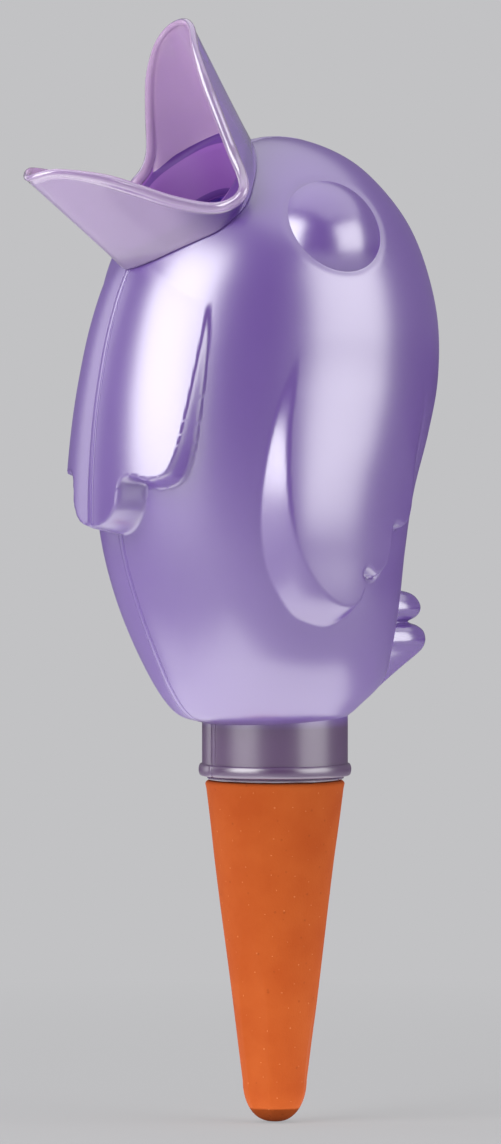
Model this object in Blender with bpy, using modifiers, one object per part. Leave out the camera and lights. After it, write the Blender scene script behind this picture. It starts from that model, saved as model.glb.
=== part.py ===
"""Bird-shaped watering spike: a moulded bird bottle on a porous clay cone.

The open beak is the filling funnel and the body is the water reservoir. The clay cone
stands in the soil, with its spigot sealed in the neck.

Frame: metres, +Z up, beak towards -Y, origin on the spike's axis at the top of the cone's
shoulder, which is level with the soil.
"""
import functools
import math

import bmesh
import bpy
import numpy as np
from mathutils import Matrix, Vector

MM = 0.001

# Fits and walls
FIT_GAP = 0.3 * MM
SEAM_GAP = 0.3 * MM
PLUG_GAP = 0.45 * MM
SHELL_WALL = 1.8 * MM
BEAK_WALL = 1.6 * MM

# Neck, its bead and the seal, whose flange keeps inside the cone's shoulder
NECK_RADIUS = 17.9 * MM
NECK_LENGTH = 14.0 * MM
BEAD_PROUD = 0.85 * MM
BEAD_HEIGHT = 3.0 * MM
BEAD_ROUND = 0.5 * MM
BORE_CHAMFER = 1.35 * MM
SEAL_WIDTH = 1.9 * MM
SEAL_HEIGHT = 9.0 * MM
SEAL_FLANGE_THICKNESS = 0.6 * MM
SEAL_FLANGE_SETBACK = 0.3 * MM

# Clay cone, whose shoulder keeps inside the neck
CONE_SETBACK = 0.8 * MM
CONE_EDGE_ROUND = 0.8 * MM
CONE_TIP_RADIUS = 7.9 * MM
CONE_TAPER_LENGTH = 74.0 * MM
CONE_TIP_LENGTH = 10.0 * MM
CONE_TIP_FULLNESS = 0.8
CONE_TIP_STEPS = 6
CONE_WALL = 4.2 * MM
CONE_FLOOR = 8.0 * MM
HOLLOW_STRAIGHT_DEPTH = 29.6 * MM
HOLLOW_ROUND_STEPS = 3
SPIGOT_HEIGHT = 12.0 * MM
SPIGOT_CHAMFER = 1.0 * MM

# Flare from the neck to the belly: its height, and how far it reaches past the neck
FLARE_HEIGHT = 2.3 * MM
FLARE_FRONT = 6.7 * MM
FLARE_BACK = 2.7 * MM
FLARE_SIDE = 3.7 * MM

# Body sections above the flare: height above the neck's top, front, back and half width
BODY_SECTIONS = (
    (8.4 * MM, -30.1 * MM, 26.4 * MM, 26.6 * MM),
    (16.8 * MM, -34.5 * MM, 28.2 * MM, 31.2 * MM),
    (28.8 * MM, -39.6 * MM, 29.9 * MM, 34.4 * MM),
    (41.8 * MM, -43.7 * MM, 31.6 * MM, 35.6 * MM),
    (55.8 * MM, -45.9 * MM, 34.1 * MM, 36.6 * MM),
    (69.8 * MM, -46.9 * MM, 38.3 * MM, 37.5 * MM),
    (82.8 * MM, -46.8 * MM, 41.1 * MM, 38.0 * MM),
    (96.8 * MM, -45.5 * MM, 41.1 * MM, 38.0 * MM),
    (109.8 * MM, -42.5 * MM, 38.0 * MM, 36.6 * MM),
    (120.8 * MM, -37.2 * MM, 33.3 * MM, 32.9 * MM),
    (129.8 * MM, -30.0 * MM, 26.7 * MM, 26.7 * MM),
    (136.8 * MM, -19.9 * MM, 19.0 * MM, 18.3 * MM),
    (141.3 * MM, -9.0 * MM, 9.3 * MM, 8.9 * MM),
    (142.8 * MM, -0.3 * MM, -0.3 * MM, 0.0 * MM),
)
# Mesh rows up to each section, and mesh columns in each band of angles from the breast to the
# back: both are closer together where the reliefs are
OUTER_ROWS_PER_SPAN = (1, 2, 2, 4, 6, 6, 4, 3, 3, 3, 2, 2, 2, 2, 2)
INNER_ROWS_PER_SPAN = 2
COLUMN_BAND_DEGREES = (30, 43, 60, 80, 100, 138, 180)
COLUMN_STEPS_PER_BAND = (8, 5, 3, 6, 4, 7, 5)
INNER_COLUMN_STEPS_PER_SIDE = 16
GROOVE_HALF_WIDTH = 0.8 * MM
GROOVE_DEPTH = 0.6 * MM
GROOVE_COLUMN_SHARE = 0.6

# Weld tongue: a rib inside the left half's edge that reaches behind the right half's edge,
# along the breast and the back
TONGUE_REACH = 2.6 * MM
TONGUE_ROOT = 3.2 * MM
TONGUE_THICKNESS = 1.0 * MM
TONGUE_BITE = 0.5 * MM
TONGUE_GAP = 0.5 * MM
TONGUE_FOOT = 30.0 * MM
TONGUE_BREAST_TOP = 118.0 * MM
TONGUE_BACK_TOP = 146.0 * MM

# Reliefs are laid out on the unrolled skin: distance round from the breast line at this
# girth radius, and height above the soil line
GIRTH_RADIUS = 40.0 * MM

# Breast tuft: a middle lobe over the seam and a shorter lobe on each side
TUFT_OUTLINE = (
    (0.0 * MM, 61.5 * MM),
    (7.0 * MM, 63.0 * MM),
    (11.5 * MM, 68.0 * MM),
    (12.0 * MM, 74.0 * MM),
    (18.0 * MM, 73.5 * MM),
    (24.5 * MM, 76.0 * MM),
    (27.0 * MM, 84.0 * MM),
    (28.5 * MM, 96.0 * MM),
    (29.0 * MM, 108.0 * MM),
    (28.5 * MM, 120.0 * MM),
    (0.0 * MM, 124.0 * MM),
)
TUFT_FOOT = 64.0 * MM
TUFT_TOP = 128.0 * MM
TUFT_PROUD = 8.2 * MM
TUFT_WALL_WIDTH = 5.0 * MM

# Wing: a leaf with a broad bevel along its front edge and three lobes behind
WING_FRONT_EDGE = (
    (50.6 * MM, 108.0 * MM),
    (45.7 * MM, 90.6 * MM),
    (43.6 * MM, 66.0 * MM),
    (46.1 * MM, 48.7 * MM),
    (52.5 * MM, 41.0 * MM),
    (60.4 * MM, 39.5 * MM),
    (68.0 * MM, 42.5 * MM),
)
WING_REAR_EDGE = (
    (68.0 * MM, 42.5 * MM),
    (72.5 * MM, 47.0 * MM),
    (72.0 * MM, 53.0 * MM),
    (77.0 * MM, 51.5 * MM),
    (83.0 * MM, 56.0 * MM),
    (83.5 * MM, 64.0 * MM),
    (88.5 * MM, 63.0 * MM),
    (92.5 * MM, 68.0 * MM),
    (89.5 * MM, 76.0 * MM),
    (80.0 * MM, 88.0 * MM),
    (62.0 * MM, 104.0 * MM),
    (50.6 * MM, 108.0 * MM),
)
WING_TIP = 108.0 * MM
WING_FULL = 60.0 * MM
WING_PROUD = 5.0 * MM
WING_FRONT_BEVEL = 8.0 * MM
WING_REAR_BEVEL = 3.0 * MM

# Eye domes: each is a low cap of a ball set into the head
EYE_SIDE = 21.4 * MM
EYE_FORWARD = 1.6 * MM
EYE_HEIGHT = 132.3 * MM
EYE_RADIUS = 16.5 * MM

# Tail: stacked lobes on the back as egg shapes, each a centre and three radii
TAIL_LOBES = (
    ((0.0 * MM, 29.0 * MM, 41.3 * MM), (8.5 * MM, 11.5 * MM, 4.4 * MM)),
    ((0.0 * MM, 27.0 * MM, 33.2 * MM), (8.5 * MM, 14.0 * MM, 6.0 * MM)),
    ((0.0 * MM, 24.0 * MM, 27.5 * MM), (7.5 * MM, 11.5 * MM, 8.0 * MM)),
)

# Beak funnel: its base ring below the head's skin, the plug under it and the rims of both jaws.
# Rim points are across, up the ring and out along the plug's axis, from corner to tip.
BEAK_RING_FORWARD = 25.0 * MM
BEAK_RING_DEPTH = 7.9 * MM
BEAK_TILT = math.radians(41.3)
BEAK_BASE_RADIUS = 23.0 * MM
BEAK_BASE_ROUNDNESS = 1.6
BEAK_RIM_RADIUS = 1.2 * MM
MOUTH_CORNER = (25.2 * MM, 3.4 * MM, 3.7 * MM)
UPPER_RIM = (
    MOUTH_CORNER,
    (22.2 * MM, 6.9 * MM, 5.6 * MM),
    (19.0 * MM, 9.8 * MM, 9.6 * MM),
    (15.9 * MM, 14.0 * MM, 17.6 * MM),
    (12.3 * MM, 18.8 * MM, 26.2 * MM),
    (8.6 * MM, 23.4 * MM, 32.0 * MM),
    (5.0 * MM, 27.4 * MM, 34.4 * MM),
    (0.0 * MM, 29.2 * MM, 35.0 * MM),
)
LOWER_RIM = (
    MOUTH_CORNER,
    (20.6 * MM, -4.5 * MM, 5.1 * MM),
    (16.7 * MM, -9.7 * MM, 12.1 * MM),
    (13.5 * MM, -14.0 * MM, 19.8 * MM),
    (10.7 * MM, -19.0 * MM, 27.6 * MM),
    (6.0 * MM, -25.4 * MM, 33.9 * MM),
    (0.0 * MM, -29.9 * MM, 34.9 * MM),
)
STEPS_PER_JAW_SIDE = 9
SEAT_ROUNDS = 8
PLUG_RADIUS = 17.9 * MM
PLUG_DEPTH = 7.0 * MM
THROAT_RADIUS = 11.2 * MM
THROAT_DEPTH = 5.0 * MM
FLOOR_EDGE = 4.6 * MM
FLOOR_EDGE_SHARE = 0.7
FLOOR_WALL = 1.2 * MM
RIM_TURN_DEGREES = (-35, 25, 90, 155, 215)

ROUND_STEPS = 36
EGG_COLUMN_STEPS = 24
EGG_ROW_STEPS = 16
SHARP_DEGREES = 40

# Values that follow from the ones above
COLUMNS_PER_SIDE = sum(COLUMN_STEPS_PER_BAND)
BEAD_RADIUS = NECK_RADIUS + BEAD_PROUD
CONE_SHOULDER_RADIUS = NECK_RADIUS - CONE_SETBACK
SEAL_FLANGE_RADIUS = CONE_SHOULDER_RADIUS - SEAL_FLANGE_SETBACK
SEAL_FOOT = FIT_GAP
NECK_FOOT = SEAL_FOOT + SEAL_FLANGE_THICKNESS + FIT_GAP
NECK_TOP = NECK_FOOT + NECK_LENGTH
NECK_BORE = NECK_RADIUS - SHELL_WALL
SEAL_OUTER = NECK_BORE - FIT_GAP
SEAL_INNER = SEAL_OUTER - SEAL_WIDTH
SPIGOT_RADIUS = SEAL_INNER - FIT_GAP
HOLE_RADIUS = PLUG_RADIUS + PLUG_GAP
CONE_TIP_DEPTH = CONE_TAPER_LENGTH + CONE_TIP_LENGTH
EYE_CENTRE = Vector((EYE_SIDE, -EYE_FORWARD, EYE_HEIGHT))
BEAK_AXIS = Vector((0.0, -math.sin(BEAK_TILT), math.cos(BEAK_TILT)))
BEAK_UP = Vector((0.0, math.cos(BEAK_TILT), math.sin(BEAK_TILT)))


def clear_scene():
    """Remove every object that is already there."""
    for thing in list(bpy.data.objects):
        bpy.data.objects.remove(thing, do_unlink=True)


def new_collection(name):
    """Add a collection to the scene."""
    group = bpy.data.collections.new(name)
    bpy.context.scene.collection.children.link(group)
    return group


def plain_material(name, colour, roughness, transmission=0.0):
    """A Principled material with one colour."""
    material = bpy.data.materials.new(name)
    material.use_nodes = True
    shader = material.node_tree.nodes["Principled BSDF"]
    shader.inputs["Base Color"].default_value = (*colour, 1.0)
    shader.inputs["Roughness"].default_value = roughness
    shader.inputs["Transmission Weight"].default_value = transmission
    return material


def add_object(name, mesh, group, material=None):
    """Make an object of a mesh, smooth with sharp corners kept."""
    thing = bpy.data.objects.new(name, mesh)
    group.objects.link(thing)
    if material is not None:
        mesh.materials.append(material)
    mesh.shade_smooth()
    mesh.set_sharp_from_angle(angle=math.radians(SHARP_DEGREES))
    return thing


def mark_cutter(thing):
    """Keep a tool object out of the finished part."""
    thing.hide_render = True
    thing.display_type = "WIRE"
    return thing


def add_boolean(thing, operation, tool):
    """Add an exact Boolean to an object."""
    step = thing.modifiers.new(operation.lower(), "BOOLEAN")
    step.operation = operation
    step.solver = "EXACT"
    step.object = tool


def smooth_samples(padded, counts):
    """Sample a Catmull-Rom curve whose first and last points only set its ends.

    The counts give the number of steps in each span.
    """
    samples = [padded[1]]
    for span, count in enumerate(counts):
        before, start, end, after = padded[span:span + 4]
        for share in np.arange(1, count + 1) / count:
            samples.append(0.5 * (
                2.0 * start
                + (end - before) * share
                + (2.0 * before - 5.0 * start + 4.0 * end - after) * share ** 2
                + (3.0 * start - before - 3.0 * end + after) * share ** 3
            ))
    return np.array(samples)


def through_points(points, steps):
    """Sample a smooth curve through points, with its ends run on straight."""
    points = np.array(points, dtype=float)
    first = 2.0 * points[0] - points[1]
    last = 2.0 * points[-1] - points[-2]
    return smooth_samples(np.vstack([first, points, last]), [steps] * (len(points) - 1))


def body_sections(rows_per_span):
    """Smooth body sections from neck to crown: height, front, back and half width."""
    neck = (0.0, -NECK_RADIUS, NECK_RADIUS, NECK_RADIUS)
    flare = (FLARE_HEIGHT, -NECK_RADIUS - FLARE_FRONT, NECK_RADIUS + FLARE_BACK, NECK_RADIUS + FLARE_SIDE)
    sections = np.array((neck, flare) + BODY_SECTIONS)
    before = 2.0 * sections[0] - sections[1]
    height, front, back, half_width = sections[-2]
    past_crown = np.array((height, back, front, -half_width))
    padded = np.vstack([before, sections, past_crown])
    smooth = smooth_samples(padded, rows_per_span)
    smooth[:, 0] += NECK_TOP
    return smooth


@functools.cache
def beak_ring_centre():
    """Middle of the beak's base ring, straight below the head's skin."""
    sections = body_sections(OUTER_ROWS_PER_SPAN)
    face = sections[np.argmin(sections[:, 1]):]
    skin_height = np.interp(-BEAK_RING_FORWARD, face[:, 1], face[:, 0])
    return Vector((0.0, -BEAK_RING_FORWARD, skin_height - BEAK_RING_DEPTH))


def edge_distance(edge, around, height):
    """Distance from points on the unrolled skin to an edge line."""
    nearest = np.full(np.shape(around), np.inf)
    for (x0, y0), (x1, y1) in zip(edge[:-1], edge[1:]):
        run_x, run_y = x1 - x0, y1 - y0
        share = ((around - x0) * run_x + (height - y0) * run_y) / (run_x ** 2 + run_y ** 2)
        share = np.clip(share, 0.0, 1.0)
        gap = np.hypot(around - x0 - share * run_x, height - y0 - share * run_y)
        nearest = np.minimum(nearest, gap)
    return nearest


def is_inside(outline, around, height):
    """Whether points on the unrolled skin lie inside a closed outline."""
    inside = np.zeros(np.shape(around), dtype=bool)
    for (x0, y0), (x1, y1) in zip(outline, outline[1:] + outline[:1]):
        if y0 == y1:
            continue
        crosses = (y0 > height) != (y1 > height)
        inside ^= crosses & (around < x0 + (height - y0) * (x1 - x0) / (y1 - y0))
    return inside


def ramp(distance, width):
    """Rise from 0 to 1 over a width, with soft ends."""
    share = np.clip(distance / width, 0.0, 1.0)
    return share ** 2 * (3.0 - 2.0 * share)


def tuft_relief(around, height):
    """How far the breast tuft stands out of the skin."""
    rise = TUFT_PROUD * np.clip((TUFT_TOP - height) / (TUFT_TOP - TUFT_FOOT), 0.0, 1.0)
    wall = TUFT_OUTLINE[:-1]
    slope = ramp(edge_distance(wall, around, height), TUFT_WALL_WIDTH)
    return np.where(is_inside(TUFT_OUTLINE, around, height), rise * slope, 0.0)


def wing_relief(around, height):
    """How far the wing stands out of the skin."""
    rise = WING_PROUD * np.clip((WING_TIP - height) / (WING_TIP - WING_FULL), 0.0, 1.0)
    front = ramp(edge_distance(WING_FRONT_EDGE, around, height), WING_FRONT_BEVEL)
    rear = ramp(edge_distance(WING_REAR_EDGE, around, height), WING_REAR_BEVEL)
    inside = is_inside(WING_FRONT_EDGE + WING_REAR_EDGE[1:-1], around, height)
    return np.where(inside, rise * np.minimum(front, rear), 0.0)


def skin_points(sections, angles):
    """Points of the plain body for one angle list a section."""
    front, back, half_width = (sections[:, k, None] for k in (1, 2, 3))
    middle = 0.5 * (front + back)
    depth = 0.5 * (back - front)
    height = np.broadcast_to(sections[:, 0, None], angles.shape)
    return np.stack([half_width * np.sin(angles), middle - depth * np.cos(angles), height], axis=-1)


def skin_normals(points):
    """Outward directions of a grid of skin points that is closed around."""
    around = np.roll(points, -1, axis=1) - np.roll(points, 1, axis=1)
    upward = np.gradient(points, axis=0)
    outward = np.cross(around, upward)
    length = np.linalg.norm(outward, axis=-1, keepdims=True)
    return outward / np.maximum(length, 1e-12)


def column_shares():
    """Angles of one side's columns, closer together where the reliefs are."""
    angles = [0.0]
    for reached, count in zip(COLUMN_BAND_DEGREES, COLUMN_STEPS_PER_BAND):
        start = angles[-1]
        angles += [start + (reached - start) * (k + 1) / count for k in range(count)]
    return np.radians(angles)


def column_angles(sections):
    """Angles round the body from the breast, with columns at the edges of the seam groove."""
    side = np.tile(column_shares(), (len(sections), 1))
    half_width = np.maximum(sections[:, 3], GROOVE_HALF_WIDTH)
    widest = math.sin(GROOVE_COLUMN_SHARE * side[0, 1])
    groove = np.arcsin(np.minimum(GROOVE_HALF_WIDTH / half_width, widest))
    side[:, 1] = groove
    side[:, -2] = math.pi - groove
    return np.hstack([side, 2.0 * math.pi - side[:, -2:0:-1]])


def outer_rings(sections):
    """Rings of the bird's outside, with its tuft, wings and seam groove."""
    angles = column_angles(sections)
    points = skin_points(sections, angles)
    normals = skin_normals(points)
    turn = np.minimum(angles, 2.0 * math.pi - angles)
    around = turn * GIRTH_RADIUS
    lift = tuft_relief(around, points[..., 2]) + wing_relief(around, points[..., 2])
    lift[1:-2, (0, COLUMNS_PER_SIDE)] -= GROOVE_DEPTH
    lift[0] = 0.0
    return points + normals * lift[..., None]


def inner_rings(sections):
    """Rings of the reservoir, one wall inside the plain body."""
    steps = INNER_COLUMN_STEPS_PER_SIDE
    angles = np.arange(2 * steps) * math.pi / steps
    points = skin_points(sections, np.tile(angles, (len(sections), 1)))
    return points - skin_normals(points) * SHELL_WALL


def round_ring(radius, height, like):
    """A level ring round the spike's axis at the angles of another ring."""
    angles = np.arctan2(like[:, 1], like[:, 0])
    return np.stack([radius * np.cos(angles), radius * np.sin(angles), np.full(len(like), height)], axis=1)


def loft(name, rings):
    """Close a stack of rings into a solid, flat below and on the crown."""
    form = bmesh.new()
    loops = [[form.verts.new(point) for point in ring] for ring in rings]
    form.faces.new(loops[0][::-1])
    form.faces.new(loops[-1])
    for low, high in zip(loops[:-1], loops[1:]):
        for index in range(len(low)):
            after = (index + 1) % len(low)
            form.faces.new((low[index], low[after], high[after], high[index]))
    bmesh.ops.recalc_face_normals(form, faces=form.faces)
    mesh = bpy.data.meshes.new(name)
    form.to_mesh(mesh)
    form.free()
    return mesh


def bird_solid():
    """The bird's outside as one solid, from the bead under the neck to the crown."""
    rings = outer_rings(body_sections(OUTER_ROWS_PER_SPAN))
    foot = NECK_FOOT
    neck_profile = (
        (BEAD_RADIUS - BEAD_ROUND, foot),
        (BEAD_RADIUS, foot + BEAD_ROUND),
        (BEAD_RADIUS, foot + BEAD_HEIGHT - BEAD_ROUND),
        (BEAD_RADIUS - BEAD_ROUND, foot + BEAD_HEIGHT),
        (NECK_RADIUS, foot + BEAD_HEIGHT + BEAD_ROUND),
    )
    neck = [round_ring(radius, height, rings[0]) for radius, height in neck_profile]
    return loft("bird_outside", neck + list(rings[:-1]))


def reservoir_solid():
    """The hollow of the bird, from below the neck bore to the crown."""
    rings = inner_rings(body_sections([INNER_ROWS_PER_SPAN] * len(OUTER_ROWS_PER_SPAN)))
    mouth = NECK_BORE + BORE_CHAMFER
    bore_profile = (
        (mouth, NECK_FOOT - BORE_CHAMFER),
        (mouth, NECK_FOOT),
        (NECK_BORE, NECK_FOOT + BORE_CHAMFER),
        (NECK_BORE, NECK_TOP + SHELL_WALL),
    )
    bore = [round_ring(radius, height, rings[1]) for radius, height in bore_profile]
    return loft("bird_inside", bore + list(rings[1:-1]))


def tongue_section():
    """Section of the weld tongue: place across the seam, and depth below the skin."""
    outer = SHELL_WALL + TONGUE_GAP
    inner = outer + TONGUE_THICKNESS
    bite = SHELL_WALL - TONGUE_BITE
    return (
        (TONGUE_ROOT, bite),
        (SEAM_GAP, bite),
        (SEAM_GAP, outer),
        (-TONGUE_REACH, outer),
        (-TONGUE_REACH, inner),
        (TONGUE_ROOT, inner),
    )


def weld_tongue(name, top, is_back, group):
    """A rib along the seam inside the breast or the back."""
    sections = body_sections([INNER_ROWS_PER_SPAN] * len(OUTER_ROWS_PER_SPAN))
    sections = sections[(sections[:, 0] > TONGUE_FOOT) & (sections[:, 0] < top)]
    across, inset = np.array(tongue_section()).T
    angles = np.arcsin(across / sections[:, 3, None])
    if is_back:
        angles = math.pi - angles
    points = skin_points(sections, angles)
    depth = 0.5 * (sections[:, 2, None] - sections[:, 1, None])
    around = np.stack([sections[:, 3, None] * np.cos(angles), depth * np.sin(angles), 0.0 * angles], axis=-1)
    outward = np.cross(around, np.gradient(points, axis=0))
    outward /= np.linalg.norm(outward, axis=-1, keepdims=True)
    rib = loft(name, points - outward * inset[:, None])
    return mark_cutter(add_object(name, rib, group))


def ellipsoid(name, centre, radii, group):
    """A smooth egg-shaped solid."""
    form = bmesh.new()
    bmesh.ops.create_uvsphere(form, u_segments=EGG_COLUMN_STEPS, v_segments=EGG_ROW_STEPS, radius=1.0)
    poles_to_sides = Matrix.Rotation(math.radians(90.0), 4, "Y")
    place = Matrix.LocRotScale(Vector(centre), None, Vector(radii)) @ poles_to_sides
    bmesh.ops.transform(form, matrix=place, verts=form.verts)
    mesh = bpy.data.meshes.new(name)
    form.to_mesh(mesh)
    form.free()
    return mark_cutter(add_object(name, mesh, group))


def beak_hole_cutter(group):
    """A round bar along the plug's axis that opens the head."""
    form = bmesh.new()
    bmesh.ops.create_cone(form, cap_ends=True, segments=ROUND_STEPS, radius1=HOLE_RADIUS,
                          radius2=HOLE_RADIUS, depth=2.0 * BEAK_BASE_RADIUS)
    turn = Matrix.Translation(beak_ring_centre()) @ Matrix.Rotation(BEAK_TILT, 4, "X")
    bmesh.ops.transform(form, matrix=turn, verts=form.verts)
    mesh = bpy.data.meshes.new("beak_hole")
    form.to_mesh(mesh)
    form.free()
    return mark_cutter(add_object("beak_hole", mesh, group))


def half_space_cutter(name, side, group):
    """A box that holds one side of the seam."""
    reach = BODY_SECTIONS[-1][0] + BEAK_BASE_RADIUS
    form = bmesh.new()
    bmesh.ops.create_cube(form, size=1.0)
    middle = side * (0.5 * reach + 0.5 * SEAM_GAP)
    place = Matrix.LocRotScale(Vector((middle, 0.0, 0.5 * reach)), None,
                               Vector((reach, 2.0 * reach, 2.0 * reach)))
    bmesh.ops.transform(form, matrix=place, verts=form.verts)
    mesh = bpy.data.meshes.new(name)
    form.to_mesh(mesh)
    form.free()
    return mark_cutter(add_object(name, mesh, group))


def make_shells(parts, cutters, material):
    """Two half shells of the bird, split on the seam."""
    outside = bird_solid()
    inside = mark_cutter(add_object("reservoir_hollow", reservoir_solid(), cutters))
    hole = beak_hole_cutter(cutters)
    tail = []
    for number, (centre, radii) in enumerate(TAIL_LOBES):
        tail.append(ellipsoid(f"tail_lobe_{number}", centre, radii, cutters))
    tongues = [
        weld_tongue("breast_tongue", TONGUE_BREAST_TOP, False, cutters),
        weld_tongue("back_tongue", TONGUE_BACK_TOP, True, cutters),
    ]
    for name, side, ribs in (("left_shell", 1, tongues), ("right_shell", -1, [])):
        shell = add_object(name, outside.copy(), parts, material)
        centre = Vector((side * EYE_CENTRE.x, EYE_CENTRE.y, EYE_CENTRE.z))
        eye = ellipsoid(name + "_eye", centre, Vector((EYE_RADIUS,) * 3), cutters)
        for form in [eye] + tail:
            add_boolean(shell, "UNION", form)
        add_boolean(shell, "DIFFERENCE", inside)
        add_boolean(shell, "DIFFERENCE", hole)
        add_boolean(shell, "INTERSECT", half_space_cutter(name + "_side", side, cutters))
        for rib in ribs:
            add_boolean(shell, "UNION", rib)
    bpy.data.meshes.remove(outside)


def turned(name, profile, parts, material, closed):
    """A turned piece from a profile of radius and height."""
    mesh = bpy.data.meshes.new(name)
    count = len(profile)
    edges = [(k, k + 1) for k in range(count - 1)]
    if closed:
        edges.append((count - 1, 0))
    mesh.from_pydata([(radius, 0.0, height) for radius, height in profile], edges, [])
    thing = add_object(name, mesh, parts, material)
    screw = thing.modifiers.new("turn", "SCREW")
    screw.steps = ROUND_STEPS
    screw.render_steps = ROUND_STEPS
    screw.use_merge_vertices = True
    screw.merge_threshold = 0.01 * MM
    return thing


def make_cone(parts, material):
    """The porous clay cone with its spigot and its blind hollow."""
    hollow_top = SPIGOT_RADIUS - CONE_WALL
    hollow_low = CONE_TIP_RADIUS - CONE_WALL
    floor_height = CONE_FLOOR - CONE_TIP_DEPTH
    profile = []
    for turn in np.linspace(0.0, 0.5 * math.pi, HOLLOW_ROUND_STEPS + 1):
        profile.append((hollow_low * math.sin(turn), floor_height + hollow_low * (1.0 - math.cos(turn))))
    profile += [
        (hollow_top, -HOLLOW_STRAIGHT_DEPTH),
        (hollow_top, SPIGOT_HEIGHT),
        (SPIGOT_RADIUS - SPIGOT_CHAMFER, SPIGOT_HEIGHT),
        (SPIGOT_RADIUS, SPIGOT_HEIGHT - SPIGOT_CHAMFER),
        (SPIGOT_RADIUS, 0.0),
        (CONE_SHOULDER_RADIUS - CONE_EDGE_ROUND, 0.0),
        (CONE_SHOULDER_RADIUS, -CONE_EDGE_ROUND),
    ]
    for turn in np.linspace(0.0, 0.5 * math.pi, CONE_TIP_STEPS)[:-1]:
        radius = CONE_TIP_RADIUS * math.cos(turn) ** CONE_TIP_FULLNESS
        profile.append((radius, -CONE_TAPER_LENGTH - CONE_TIP_LENGTH * math.sin(turn)))
    profile.append((0.0, -CONE_TIP_DEPTH))
    return turned("terracotta_cone", profile, parts, material, closed=False)


def make_seal(parts, material):
    """The sealing ring round the spigot, with a thin flange under the neck."""
    flange_top = SEAL_FOOT + SEAL_FLANGE_THICKNESS
    profile = [
        (SEAL_INNER, SEAL_FOOT),
        (SEAL_INNER, SEAL_FOOT + SEAL_HEIGHT),
        (SEAL_OUTER, SEAL_FOOT + SEAL_HEIGHT),
        (SEAL_OUTER, flange_top),
        (SEAL_FLANGE_RADIUS, flange_top),
        (SEAL_FLANGE_RADIUS, SEAL_FOOT),
    ]
    return turned("neck_seal", profile, parts, material, closed=True)


def beak_point(across, up, out):
    """A point of the beak's own axes in the part's frame."""
    return beak_ring_centre() + Vector((across, 0.0, 0.0)) + BEAK_UP * up + BEAK_AXIS * out


def head_height(sections, across, up):
    """How far the head's surface stands out of the beak's ring plane at a place."""
    low, high = -BEAK_BASE_RADIUS, BEAK_BASE_RADIUS
    heights = sections[:, 0]
    for _ in range(40):
        out = 0.5 * (low + high)
        x, y, z = beak_point(across, up, out)
        front, back, half_width = (np.interp(z, heights, sections[:, k]) for k in (1, 2, 3))
        depth = max(0.5 * (back - front), 1e-9)
        level = (x / max(half_width, 1e-9)) ** 2 + ((y - 0.5 * (front + back)) / depth) ** 2
        if z < heights[-1] and level < 1.0:
            low = out
        else:
            high = out
    return out


def beak_profile(sections, base, rim):
    """The closed wall section of the funnel between a base point and a rim point."""
    across, up = base
    reach = math.hypot(across, up)
    side = np.array((across / reach, up / reach))
    rim_side, rim_out = np.array(rim[:2]), rim[2]

    def at(radius, out):
        return beak_point(*(side * radius), out)

    lean = (rim_side - np.array(base)) / rim_out
    base_edge = np.array(base)
    for _ in range(SEAT_ROUNDS):
        seat = head_height(sections, *base_edge) + FIT_GAP
        base_edge = np.array(base) + lean * seat
    plug_seat = head_height(sections, *(side * PLUG_RADIUS)) + FIT_GAP
    floor_out = min(FLOOR_EDGE, FLOOR_EDGE_SHARE * rim_out)
    inner_edge = side * (reach - BEAK_WALL) + lean * floor_out
    wall = np.array((*lean, 1.0))
    wall /= np.linalg.norm(wall)
    outward = np.array((*side, 0.0))
    points = [
        at(PLUG_RADIUS, plug_seat),
        beak_point(*base_edge, seat),
    ]
    for turn in np.radians(RIM_TURN_DEGREES):
        offset = BEAK_RIM_RADIUS * (math.cos(turn) * outward + math.sin(turn) * wall)
        points.append(beak_point(*(np.array(rim) + offset)))
    points += [
        beak_point(*inner_edge, floor_out),
        at(PLUG_RADIUS, plug_seat + FLOOR_WALL),
        at(THROAT_RADIUS, -THROAT_DEPTH),
        at(THROAT_RADIUS, -THROAT_DEPTH - BEAK_WALL),
        at(PLUG_RADIUS - BEAK_WALL, plug_seat - 2.0 * BEAK_WALL),
        at(PLUG_RADIUS - BEAK_WALL, -PLUG_DEPTH),
        at(PLUG_RADIUS, -PLUG_DEPTH),
    ]
    return points


def beak_rim_side(rim):
    """Rim points of one jaw, from the mouth's corner to the tip."""
    spans = len(rim) - 1
    fine = through_points(rim, STEPS_PER_JAW_SIDE)
    return fine[np.arange(STEPS_PER_JAW_SIDE + 1) * spans]


def jaw_profiles(sections, mirror, jaw, rim, steps):
    """Wall sections of one quarter of the beak, at steps from the mouth's corner to the tip."""
    power = 2.0 / BEAK_BASE_ROUNDNESS
    rim_points = beak_rim_side(rim)
    profiles = []
    for step in steps:
        angle = 0.5 * math.pi * step / STEPS_PER_JAW_SIDE
        across = BEAK_BASE_RADIUS * max(math.cos(angle), 0.0) ** power
        up = BEAK_BASE_RADIUS * max(math.sin(angle), 0.0) ** power
        rim_across, rim_up, rim_out = rim_points[step]
        base = (mirror * across, jaw * up)
        profiles.append(beak_profile(sections, base, (mirror * rim_across, rim_up, rim_out)))
    return profiles


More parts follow.
